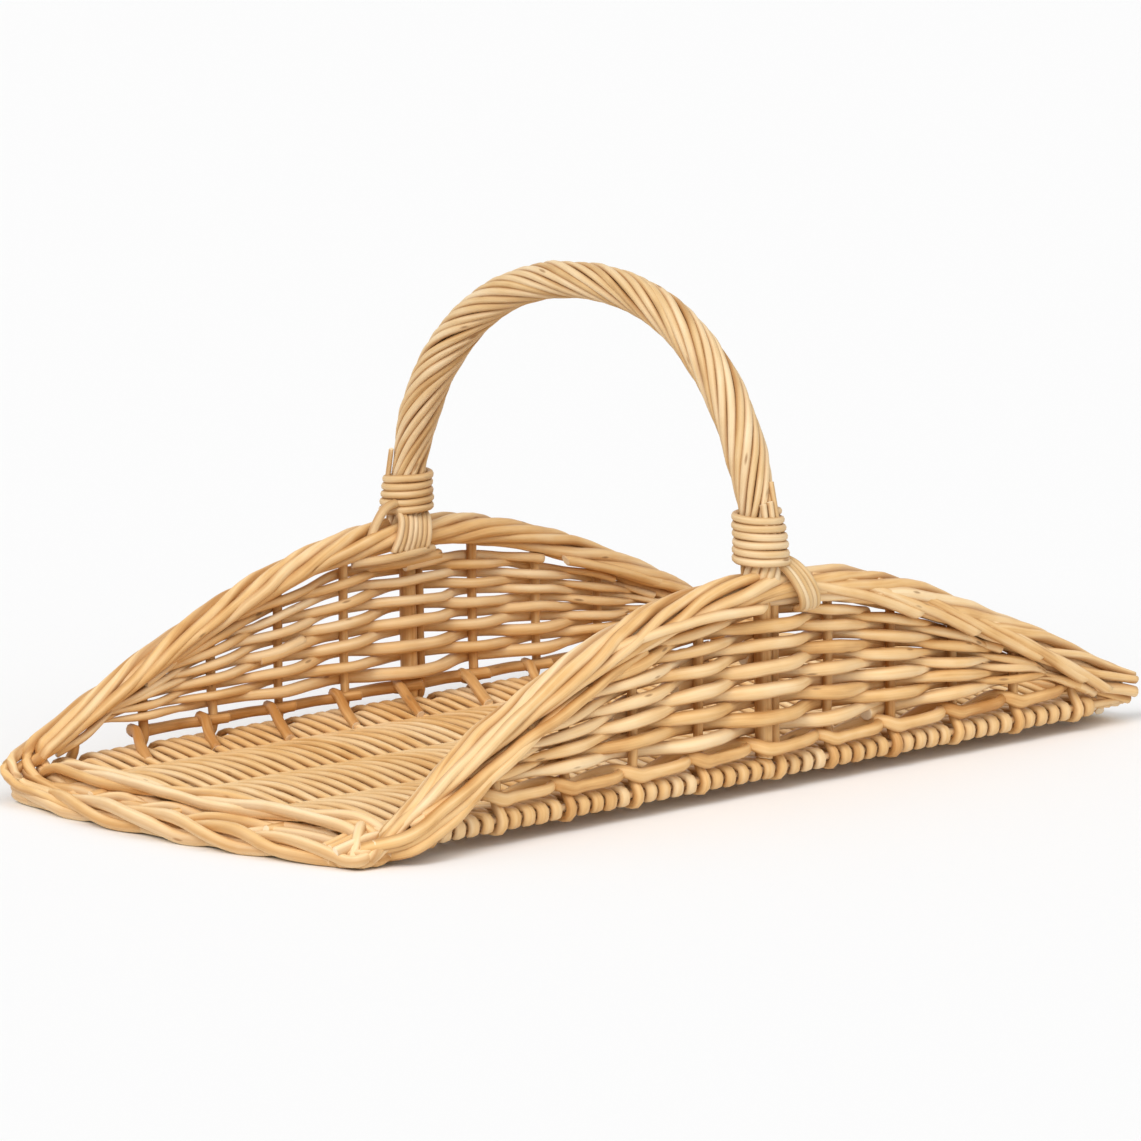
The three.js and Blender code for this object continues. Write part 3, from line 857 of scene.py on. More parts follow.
@dataclass
class BaseMat:
    """The woven base: lengthwise sticks and weavers that run back and forth across them.

    Even passes run to the near edge and lie over the edge sticks, odd ones run back under them, and
    each changes sides from stick to stick. The passes lean by one pitch from edge to edge.

    Attributes:
        turns_per_stake: Turns along an edge from one stake to the next, counting the tucked one.
        weaver_radius: Half the width of the weavers.
        weaver_flatness: Their thickness as a share of their width.
        stick_flatness: The sticks' thickness as a share of their width.
        tuck_inset: How far before an edge stick a weaver turns where a stake is in its way.
        tuck_reach: How far such a turn reaches out.
        rod_passes: Range, without its end, that a rod's number of passes is drawn from. The rod then
            ends on the next odd one.
        pass_step: Distance between the points of a pass.
        turn_steps: Points of a turn.
        stick_reach: How far the sticks run on under the end borders.
        over_swell: How much wider a weaver is over a stick, as a share of its width.
        turn_swell: How much wider it is round an edge.
        turn_fade: Distance over which it widens there.
    """

    layout: Layout
    hand: Hand
    turns_per_stake: int = 5
    weaver_radius: float = 2.35
    weaver_flatness: float = 0.72
    stick_flatness: float = 0.8
    tuck_inset: float = 12.0
    tuck_reach: float = 4.0
    rod_passes: tuple[int, int] = (3, 6)
    pass_step: float = 4.3
    turn_steps: int = 7
    stick_reach: float = 12.0
    stick_step: float = 12.0
    over_swell: float = 0.45
    turn_swell: float = 0.66
    turn_fade: float = 3.0

    @property
    def pitch(self) -> float:
        """Distance from one pass to the next."""
        return float(self.layout.stake_x[1] - self.layout.stake_x[0]) / (2 * self.turns_per_stake)

    @property
    def swing(self) -> float:
        """How far a weaver's middle lies from a stick's middle where it crosses it."""
        return self.layout.mat_half_height - self.weaver_flatness * self.weaver_radius

    def pass_x(self, number: float, y: Floats | float) -> Floats | float:
        """Where a pass is along the tray: its number plus its lean, times the pitch."""
        return (number + y / (2 * self.layout.wall_y)) * self.pitch

    def sticks(self) -> list[Rod]:
        """Makes the lengthwise sticks, which run out under the end borders."""
        lay = self.layout
        rods = []
        for y in lay.stick_y:
            end = float(lay.border_inner_x(y)) + self.stick_reach
            path = even_steps(np.array([[-end, y, lay.stick_z], [end, y, lay.stick_z]]), self.stick_step)
            rods.append(self.hand.rod(path, lay.stick_radius, UPWARDS, stray=0.1, wide=self.stick_flatness))
        return rods

    def lift(self, y: Floats) -> Floats:
        """How far an even pass lies above the sticks' middle.

        It is the swing times a cosine across the tray, one half wave from each stick to the next.
        """
        return self.swing * np.cos(np.pi * (y + self.layout.wall_y) / self.layout.stick_pitch)

    def turn_clear(self, number: int, y: float, reach: float) -> bool:
        """Tells whether the turn after a pass stays clear of the end border.

        Args:
            number: The pass's number.
            y: Where it turns, across the tray.
            reach: How far the turn reaches out.

        Returns:
            True where it is clear.
        """
        outermost = abs(self.pass_x(number + 0.5, y)) + self.pitch / 2 + self.weaver_radius
        return bool(outermost < self.layout.border_inner_x(abs(y) + reach + self.weaver_radius))

    def turn_place(self, number: int) -> Pair:
        """Chooses where the weaver turns after a pass.

        It turns round the edge stick, or before it where a stake or the end border is in the way,
        or round the next stick where the border is nearer still.

        Args:
            number: The pass's number.

        Returns:
            Where it turns, across the tray, and how far the turn reaches out.
        """
        lay = self.layout
        side = -1 if number % 2 == 0 else 1
        edge, tuck = side * lay.wall_y, side * (lay.wall_y - self.tuck_inset)
        staked = np.abs(lay.stake_x - self.pass_x(number + 0.5, edge)).min() < self.pitch
        if not staked and self.turn_clear(number, edge, self.swing):
            return edge, self.swing
        if self.turn_clear(number, tuck, self.tuck_reach):
            return tuck, self.tuck_reach
        return side * (lay.wall_y - lay.stick_pitch), self.swing

    def crossing(self, number: int, y_from: float, y_to: float) -> Floats:
        """One pass of a weaver across the base, or a part of one.

        Args:
            number: The pass's number.
            y_from: Where it starts.
            y_to: Where it ends.

        Returns:
            Points of the pass.
        """
        share = np.linspace(0, 1, max(int(abs(y_to - y_from) / self.pass_step), 4))
        y = y_from + (y_to - y_from) * share
        x = self.pass_x(number, y) + self.hand.wander(y, 0.3, 150.0) * np.sin(np.pi * share)
        sign = 1 if number % 2 == 0 else -1
        return np.stack([x, y, self.layout.stick_z + sign * self.lift(y)], axis=1)

    def turn(self, number: int, y: float, reach: float) -> Floats:
        """A weaver's turn from one pass to the next: half an ellipse, upright in its middle.

        Args:
            number: The first pass's number.
            y: Where the turn starts and ends, across the tray.
            reach: How far it reaches out.

        Returns:
            Points of the turn, without its two ends.
        """
        share = np.linspace(0, 1, self.turn_steps + 2)[1:-1]
        sign = 1 if number % 2 == 0 else -1
        x_from, x_to = self.pass_x(number, y), self.pass_x(number + 1, y)
        x = x_from + (x_to - x_from) * (0.5 + 4 * (share - 0.5) ** 3)
        y_out = y + np.sign(y) * reach * np.sin(np.pi * share)
        z = self.layout.stick_z + sign * self.lift(np.array(y)) * np.cos(np.pi * share)
        return np.stack([x, y_out, z], axis=1)

    def weaver(self, stretches: list[Floats]) -> Rod:
        """Makes one weaver, whose section is wide over each stick and widest round an edge.

        Args:
            stretches: Its passes and turns in order.

        Returns:
            The weaver.
        """
        path = np.vstack(stretches)
        over = np.abs(self.lift(path[:, 1])) / self.swing
        outside = np.clip((np.abs(path[:, 1]) - self.layout.wall_y) / self.turn_fade + 0.4, 0, 1)
        wide = 1 + self.over_swell * over * (1 - outside) + self.turn_swell * outside
        radius = self.weaver_radius * self.hand.between(0.94, 1.05)
        flat = self.weaver_flatness
        return self.hand.rod(path, radius, ALONG_X, sides=8, stray=0.12, taper=0.08, wide=wide, flat=flat)

    def weavers(self) -> list[Rod]:
        """Makes the weavers, each a few passes long, whose ends meet under the middle stick."""
        lay = self.layout
        last = 0
        while self.turn_clear(last + 1, lay.wall_y - lay.stick_pitch, self.swing):
            last += 2
        rods: list[Rod] = []
        stretches: list[Floats] = []
        start, passes = lay.stick_pitch, 3
        for number in range(-last, last + 1):
            end, reach = self.turn_place(number) if number < last else (-lay.stick_pitch, 0.0)
            if number % 2 and passes <= 0:
                rods.append(self.weaver([*stretches, self.crossing(number, start, 1.0)]))
                stretches, start = [], -1.0
                passes = int(self.hand.random.integers(*self.rod_passes))
            stretches.append(self.crossing(number, start, end))
            if number < last:
                stretches.append(self.turn(number, end, reach))
            start = end
            passes -= 1
        return [*rods, self.weaver(stretches)]

    def build(self, shop: Workshop) -> None:
        """Makes the base's pieces."""
        nodes = [f"base_stick_{number + 1}" for number in range(self.layout.stick_count)]
        shop.piece("base_stick_rods", self.sticks(), BASE_WILLOW, nodes)
        shop.piece("base_weavers", self.weavers(), BASE_WILLOW, ["base_weave"])


@dataclass
class Wall:
    """One long wall: stakes, locking rods, woven rows and the rim above them.

    Attributes:
        side: Which wall it is.
        row_radii: Radius of the lowest row and of the highest one.
        tips: How the rim ends at its left and right tips, seen from outside the wall.
        row_finish: The rows' finish.
        first_row_z: Height of the lowest row at the middle.
        row_pitches: Distance between rows at the foot of the wall and under the rim.
        row_fan: How fully the rows draw together towards the tips, from 0 to 1.
        row_step: Distance between the points of a row.
        row_stray: How far a row strays up and down.
        row_joins: How many joins a long row may have, with each entry as likely as the others.
        rim_strands: Rods in the rim.
        rim_turns: Turns that they make round one another along the rim.
        rim_radii: Radius of a strand at the tips and at the middle.
        rim_fullness: Height of the rim as a share of its full height.
        filler_insets: How far before its left and right tips the rim's middle rod ends.
        tip_growth: How much taller the rim is towards its right tip, seen from outside the wall.
        run_in_count: Rods that leave the rows and run down under the rim to its left tip.
        lock_radius: Radius of the locking rods.
        lock_slant: How far they slant along the wall on the base.
        lock_reach: How far they reach in over the base.
    """

    GROUND_Z = 4.6  # height of the centre line at a grounded tip
    GROUND_SLOPE = 0.62  # how steeply it climbs from there
    GROWTH_START = 160  # where the rim begins to grow taller
    GROWTH_LENGTH = 60  # distance over which it grows
    NESTING = 0.85  # share of a rod's radius that it stands off another by
    LEAST_PITCH = 0.3  # share of its full pitch below which a row gets no thinner
    THINNING = 0.4  # power of the pitch by which it thins
    PRESSING = 0.54  # half a pressed row's height as a share of the pitch
    JOIN_LENGTH = 22  # how far back from a join a rod is bent up or down
    JOIN_SHIFT = 0.75  # how far it is bent, as a share of its radius
    END_INSET = 30  # least room between a join and the row's end
    END_REACH = 14  # how far past the last stake a row may run
    RIM_POINTS = 64
    FILLER_POINTS = 60

    side: Side
    layout: Layout
    hand: Hand
    row_radii: Pair
    tips: tuple[Tip, Tip]
    row_finish: WillowFinish
    first_row_z: float = 34.4
    row_pitches: Pair = (7.3, 4.7)
    row_fan: float = 0.78
    row_step: float = 2.8
    row_stray: float = 0.45
    row_joins: tuple[int, ...] = (0, 1)
    rim_strands: int = 8
    rim_turns: float = 1.7
    rim_radii: Pair = (2.8, 3.35)
    rim_fullness: float = 1.0
    filler_insets: Pair = (32.0, 32.0)
    tip_growth: float = 0.0
    run_in_count: int = 0
    lock_radius: float = 2.95
    lock_slant: float = 9.0
    lock_reach: float = 28.0

    def uprights(self) -> tuple[Floats, Floats, Floats]:
        """What the rows weave round: each stake, with the handle's foot and its stake as one.

        Returns:
            Where each upright starts and ends along the wall, and its radius. One more stands in
            for the rim's tip beyond each end.
        """
        lay = self.layout
        middle = lay.stake_count // 2
        starts, ends = lay.stake_x.copy(), lay.stake_x.copy()
        starts[middle] = -lay.stake_radius
        radii = np.full(lay.stake_count, lay.stake_radius)
        radii[middle] = lay.core_radius
        pitch = starts[1] - starts[0]
        starts = np.concatenate([[starts[0] - pitch], starts, [starts[-1] + pitch]])
        ends = np.concatenate([[ends[0] - pitch], ends, [ends[-1] + pitch]])
        return starts, ends, np.pad(radii, 1, mode="edge")

    def row_offset(self, row: int, x: Floats, radius: float) -> tuple[Floats, Floats]:
        """How far a row stands off the wall's plane.

        It stands off by an upright's radius and its own at each upright, on one side of one and
        the other side of the next, and swings over in between as half a cosine wave.

        Args:
            row: The row's number from the foot of the wall.
            x: Places along the wall.
            radius: The row's radius.

        Returns:
            The distances, positive outwards, and how far through its swing the row is, from 0 at
            a crossing to 1 at an upright.
        """
        starts, ends, radii = self.uprights()
        swing = np.where((np.arange(len(starts)) - 1 + row) % 2 == 0, 1.0, -1.0)
        reach = swing * (radii + self.NESTING * radius)
        places = np.column_stack([starts, ends + 1e-3]).ravel()
        reaches = np.repeat(reach, 2)
        index = np.clip(np.searchsorted(places, x) - 1, 0, len(places) - 2)
        share = np.clip((x - places[index]) / (places[index + 1] - places[index]), 0, 1)
        blend = (1 - np.cos(np.pi * share)) / 2
        offset = reaches[index] + blend * (reaches[index + 1] - reaches[index])
        full = self.layout.stake_radius + self.NESTING * radius
        return offset, np.clip(np.abs(offset) / full, 0, 1)

    def row_fanned(self, row: float, x: Floats) -> Floats:
        """Height that a row would have with no rim above it.

        A row's height over the lowest row shrinks towards the tips by the fan times the share of
        the wall's height that is missing there.

        Args:
            row: The row's number from the foot of the wall.
            x: Places along the wall.

        Returns:
            The heights.
        """
        lay = self.layout
        foot, top = self.row_pitches
        lift = row * foot + (top - foot) * row**2 / (2 * (lay.row_count - 1))
        height = lay.rim_underside(x) - self.first_row_z
        share = np.clip(height / (lay.rim_underside(np.zeros(1)) - self.first_row_z), 0, 1)
        return self.first_row_z + lift * (1 - self.row_fan * (1 - share))

    def row_end(self, row: int, radius: float) -> float:
        """Returns the place along the wall where a row meets the rim's underside."""
        x = np.linspace(0, self.layout.half_length, 400)
        return float(x[np.argmax(self.row_fanned(row, x) + radius > self.layout.rim_underside(x))])

    def row_rod(self, row: int, span: Pair, radius: float, shift: Pair) -> Rod:
        """Makes one rod of a row, which bends down along the rim's underside once it meets it.

        The rod thins where the rows draw together, and is pressed flat where it crosses the rows
        above and below it.

        Args:
            row: The row's number from the foot of the wall.
            span: Where the rod starts and ends along the wall.
            radius: Its radius.
            shift: How far its left and right ends are moved up.

        Returns:
            The rod.
        """
        x = np.arange(span[0], span[1], self.row_step)
        pitch = self.row_fanned(row + 0.5, x) - self.row_fanned(row - 0.5, x)
        full_pitch = np.interp(row, (0, self.layout.row_count - 1), self.row_pitches)
        thin = np.clip(pitch / full_pitch, self.LEAST_PITCH, 1) ** self.THINNING
        offset, through = self.row_offset(row, x, radius)
        near_ends = np.stack([bell(x - span[0], self.JOIN_LENGTH), bell(span[1] - x, self.JOIN_LENGTH)])
        rim = self.layout.rim_underside(x) + 2 * self.rim_raise(x)
        z = lower_of(self.row_fanned(row, x), rim - 0.3 * radius, 1.6)
        z = z + near_ends[0] * shift[0] + near_ends[1] * shift[1]
        z = z + self.hand.wander(x, self.row_stray, 170.0)
        path = np.stack([x, self.side.value * (self.layout.wall_y + offset), z], axis=1)
        squeezed = np.minimum(1.0, self.PRESSING * pitch / (radius * thin))
        tall = squeezed + (1 - squeezed) * np.maximum(through, near_ends.max(axis=0))
        girth = radius * thin
        return self.hand.rod(path, girth, UPWARDS, sides=9, stray=0.4, taper=0.16, wide=tall, flat=0.92)

    def rows(self) -> list[Rod]:
        """Makes the rows, each of one rod or of two that meet on the inside of a stake."""
        lay = self.layout
        rods = []
        for row in range(lay.row_count):
            radius = float(np.interp(row, (0, lay.row_count - 1), self.row_radii))
            radius *= self.hand.between(0.94, 1.07)
            end = self.row_end(row, radius)
            furthest = lay.stake_x[-1] + self.END_REACH
            left = max(-end - self.hand.between(30, 80), -furthest)
            right = min(end + self.hand.between(22, 60), furthest)
            behind = (np.arange(lay.stake_count) + row) % 2 == 1
            inner = lay.stake_x[behind & (np.abs(lay.stake_x) < end - self.END_INSET)]
            count = int(self.hand.random.choice(self.row_joins if len(inner) > 2 else (0, 1)))
            joins = sorted(self.hand.random.choice(inner, size=min(count, len(inner)), replace=False))
            starts = [left, *[join - self.hand.between(11, 17) for join in joins]]
            ends = [*[join + self.hand.between(10, 17) for join in joins], right]
            for number, span in enumerate(zip(starts, ends)):
                lift = self.JOIN_SHIFT * radius
                shift = (-lift if number > 0 else 0.0, lift if number < len(joins) else 0.0)
                rods.append(self.row_rod(row, span, radius * self.hand.between(0.95, 1.05), shift))
        return rods

    def stakes(self) -> list[Rod]:
        """Makes the stakes, hooked round the edge stick and straight up into the rim."""
        lay = self.layout
        radius = lay.stake_radius + 0.25
        reach = lay.stick_radius + self.NESTING * radius
        angles = np.radians([-90, -55, -20, 15, 45])
        rods = []
        for x in lay.stake_x:
            top = float(lay.rim_z(x)) - 1
            hook = np.stack([
                np.full(len(angles), x),
                lay.wall_y + reach * np.cos(angles),
                lay.stick_z + reach * np.sin(angles),
            ], axis=1)
            lead = [[x, lay.wall_y - 6, hook[0, 2] + 0.2]]
            climb = np.linspace(lay.mat_top + 3, top, 5)
            upright = np.stack([np.full(5, x), np.full(5, lay.wall_y), climb], axis=1)
            path = even_steps(smooth_curve(np.vstack([lead, hook, upright]), 6), 2.6)
            path[:, 1] *= self.side.value
            foot = 1 + 0.15 * bell(path[:, 2] - lay.stick_z + 2, 6)
            thick = radius * self.hand.between(0.93, 1.05)
            rods.append(self.hand.rod(path, thick, ALONG_X, sides=9, stray=0.25, wide=foot))
        return rods

    def lock_rods(self) -> list[Rod]:
        """Makes the locking rods.

        Each comes up out of the base, goes out beside a stake, is bent sharply down and round its
        front, runs along the wall and goes in behind the next stake.
        """
        lay = self.layout
        starts, ends, radii = (part[1:-1] for part in self.uprights())
        top = lay.mat_top
        rods = []
        for index in range(1, lay.stake_count - 1):
            left, right, after = starts[index], ends[index], starts[index + 1]
            front = lay.wall_y + radii[index] + self.lock_radius - 0.6
            lift = self.hand.between(-0.7, 0.7)
            reach = self.lock_reach * self.hand.between(0.85, 1.2)
            slant = self.lock_slant * self.hand.between(0.7, 1.3)
            points = np.array([
                [left - 10 - slant, lay.wall_y - reach, top - 4.5],
                [left - 10 - 0.6 * slant, lay.wall_y - 0.6 * reach, top + 2.2],
                [left - 10, lay.wall_y - 6, top + 7.6 + lift],
                [left - 7, lay.wall_y + 2.5, top + 7.3 + lift],
                [left + 0.5, front, top + 4.4 + lift],
                [right + 8, front, top + 4.8 + lift],
                [after - 18, lay.wall_y + 4.6, top + 5.6 + lift],
                [after - 7, lay.wall_y - 1.5, top + 6.4 + lift],
                [after + 6, lay.wall_y - 6.0, top + 6.8 + lift],
            ])
            points[:, 1] *= self.side.value
            path = even_steps(smooth_curve(points, 8), 2.0)
            fold = bell(path[:, 0] - left, 7) * (np.abs(path[:, 1]) > lay.wall_y - 3)
            thick = self.lock_radius * self.hand.between(0.94, 1.06)
            wide, flat = 1.08 + 0.2 * fold, 0.95 - 0.25 * fold
            rods.append(self.hand.rod(
                path, thick, UPWARDS, sides=9, stray=0.2, taper=0.15, wide=wide, flat=flat,
            ))
        return rods

    @property
    def turned(self) -> Floats:
        """What a point of the near wall is multiplied by: the far wall is the near one turned round."""
        return np.array([-self.side.value, -self.side.value, 1.0])

    def growth(self, x: Floats) -> Floats:
        """How much taller the rim is at a place: a smooth step before its right tip."""
        share = np.clip((x - self.GROWTH_START) / self.GROWTH_LENGTH, 0, 1)
        return self.tip_growth * share**2 * (3 - 2 * share)

    def rim_raise(self, x: Floats) -> Floats:
        """How much higher the centre line of a rim that isn't full lies, so that its top stays."""
        return (1 - self.rim_fullness) * self.layout.rim_half(x)[0]

    def rim_line(self, x: Floats) -> Floats:
        """Height of the near rim's centre line.

        It is the arch with half of its growth, or a straight line down to the floor at the left
        tip where that is lower and the rim is grounded there.

        Args:
            x: Places along the near rim.

        Returns:
            The heights.
        """
        arch = self.layout.rim_z(x) + self.rim_raise(x) + self.growth(x) / 2
        if self.tips[0] is not Tip.GROUNDED:
            return arch
        return lower_of(arch, self.GROUND_Z + self.GROUND_SLOPE * (x + self.layout.half_length), 1.2)

    def rim_reach(self, x: Floats) -> tuple[Floats, Floats]:
        """Half the near rim's height and width, drawn together towards a grounded tip."""
        half_height, half_width = self.layout.rim_half(x)
        half_height = self.rim_fullness * half_height + self.growth(x) / 2
        if self.tips[0] is not Tip.GROUNDED:
            return half_height, half_width
        drawn = np.clip((x + self.layout.half_length) / 80, 0.35, 1) ** 0.6
        return half_height * drawn, half_width * drawn

    def run_out(self, style: Tip, point: Floats, end: int, angle: float) -> Floats:
        """Where a strand of the near rim goes past its tip.

        Args:
            style: How the rim ends there.
            point: The strand's last point.
            end: The tip's sign in X.
            angle: The strand's angle on the rim's oval there.

        Returns:
            The points past the tip.
        """
        lay = self.layout
        if style is Tip.CUT:
            length = 1.5 + 2.0 * np.sin(angle)
            return point + np.array([[end * length, 0.0, -0.4 * length]])
        if style is Tip.GROUNDED:
            inner = 5.0 - 5.0 * np.cos(angle)
            x = point[0] - end * (inner + np.array([6.0, 0.0, 0.0]))
            y = np.array([0.5 * (point[1] - lay.wall_y) + 3.0, 13.0 - lay.wall_y, 24.0 - lay.wall_y])
            return np.stack([x, y, np.array([0.5 * point[2] + 3.0, 3.2, 3.2])], axis=1)
        share = 0.5 + 0.5 * np.cos(angle)
        y = -lay.wall_y + np.array([0.0, 12.0, 32.0, 58.0, 84.0])
        x = np.array([3.0, 3.0, 1.0, 0.0, 0.0]) + lay.border_inner_x(y) - 4.0 + 24.0 * share
        z = np.array([0.85 * point[2] + 2.0, 13.0 - 2 * share, 9.5, 7.5, 5.0])
        return np.stack([end * x, y, z], axis=1)

    def rim(self) -> list[Rod]:
        """Makes the rim: strands on an oval that turns slowly along the arch, cut ends and run-ins.

        A strand's angle on the oval grows evenly along the rim, so that it climbs the outer side,
        passes over the top and goes down the inner side. A plain rod fills the oval's middle.
        """
        lay = self.layout
        left, right = self.filler_insets
        x = np.linspace(left - lay.half_length, lay.half_length - right, self.FILLER_POINTS)
        middle = np.stack([x, np.full_like(x, -lay.wall_y), self.rim_line(x)], axis=1)
        filler = self.hand.rod(middle * self.turned, lay.rim_half(x)[0] * 0.45, UPWARDS, sides=8, stray=0.1)
        rods = [filler]
        for strand in range(self.rim_strands):
            x = np.linspace(-lay.half_length, lay.half_length, self.RIM_POINTS)
            half_height, half_width = self.rim_reach(x)
            girth = np.interp(lay.rim_share(x), (0, 1), self.rim_radii)
            angle = 2 * np.pi * (strand / self.rim_strands + self.rim_turns * (x / lay.half_length + 1) / 2)
            angle += self.hand.wander(x, 0.16, 260.0)
            y = -lay.wall_y - np.maximum(half_width - girth, 2.5) * np.cos(angle)
            z = self.rim_line(x) + np.maximum(half_height - girth, 1.5) * np.sin(angle)
            points = np.stack([x, y, z], axis=1)
            before = self.run_out(self.tips[0], points[0], -1, angle[0])[::-1]
            beyond = self.run_out(self.tips[1], points[-1], 1, angle[-1])
            path = even_steps(smooth_curve(np.vstack([before, points[2:-2], beyond]), 4), 3.2)
            girth = np.interp(lay.rim_share(path[:, 0]), (0, 1), self.rim_radii)
            girth *= self.hand.between(0.86, 1.1)
            axis = np.stack([path[:, 0], np.full(len(path), -lay.wall_y), self.rim_line(path[:, 0])], axis=1)
            round_about = np.cross(tangents(path), path - axis) * self.turned
            path = path * self.turned
            rods.append(self.hand.rod(path, girth, round_about, sides=10, stray=0.5, taper=0.14))
        rods += [self.cut_end(*place) for place in self.cut_end_places()]
        return rods + [self.run_in(number) for number in range(self.run_in_count)]

    def run_in(self, number: int) -> Rod:
        """Makes a rod that leaves the rows and runs down under the rim's outer edge to its left tip.

        Args:
            number: The rod's number: the higher, the lower it lies and the later it starts.

        Returns:
            The rod.
        """
        lay = self.layout
        start = -88.0 - 42.0 * number
        x = np.linspace(start, -lay.half_length + 6 + 7 * number, 16)
        share = (x - start) / (x[-1] - start)
        drop = (1.0 + 5.0 * number) * np.clip(1.6 * share, 0, 1) ** 1.5 + 1.0
        z = np.maximum(lay.rim_underside(x) - drop, 3.4)
        out = lay.stake_radius + 6.0 * np.clip(3 * share, 0, 1) + 1.5 - 16.0 * np.clip(12 * share - 11, 0, 1)
        points = np.stack([x, -lay.wall_y - out, z], axis=1) * self.turned
        path = even_steps(smooth_curve(points, 6), 3.0)
        return self.hand.rod(path, 3.1, UPWARDS, sides=9, stray=0.5, taper=0.2)

    def cut_end_places(self) -> list[Pair]:
        """Where strands of the rim end in a cut, and on which face: 1 for outer, -1 for inner."""
        outer = [(x, 1.0) for x in (-11.0, 105.0, 149.0)]
        if self.side is Side.NEAR:
            return outer + [(x, 1.0) for x in (199.0, 236.0, 255.0)]
        return [*outer, (-108.0, -1.0)]

    def cut_end(self, x_end: float, face: float) -> Rod:
        """Makes the last stretch of a strand that comes out of the rim and is cut below it.

        Args:
            x_end: Where it is cut, along the near rim.
            face: 1 on the rim's outer face, and -1 on its inner one.

        Returns:
            The stretch.
        """
        lay = self.layout
        x = x_end - np.array([118.0, 80.0, 38.0, 0.0])
        half_height, half_width = lay.rim_half(x)
        out = half_width + np.array([-8.0, -3.0, -0.4, -0.6])
        down = np.array([0.35, 0.0, -0.5, -0.92]) * half_height
        points = np.stack([x, -lay.wall_y - face * out, self.rim_line(x) + down], axis=1) * self.turned
        path = even_steps(smooth_curve(points, 12), 3.0)
        rod = self.hand.rod(path, 2.9, UPWARDS, sides=9, stray=0.2, taper=0.1)
        rod.slants = (0.0, 0.9)
        return rod

    def build(self, shop: Workshop) -> None:
        """Makes the wall's pieces."""
        name = self.side.label
        lay = self.layout
        stakes = [f"{name}_stake_{number + 1:02d}" for number in range(lay.stake_count)]
        rows = [f"{name}_row_{number + 1:02d}" for number in range(lay.row_count)]
        shop.piece(f"{name}_stake_rods", self.stakes(), STAKE_WILLOW, stakes)
        shop.piece(f"{name}_locking_rods", self.lock_rods(), LOCK_WILLOW, [f"{name}_lock_rods"])
        shop.piece(f"{name}_woven_rows", self.rows(), self.row_finish, rows)
        shop.piece(f"{name}_rim_strands", self.rim(), BORDER_WILLOW, [f"{name}_rim"])


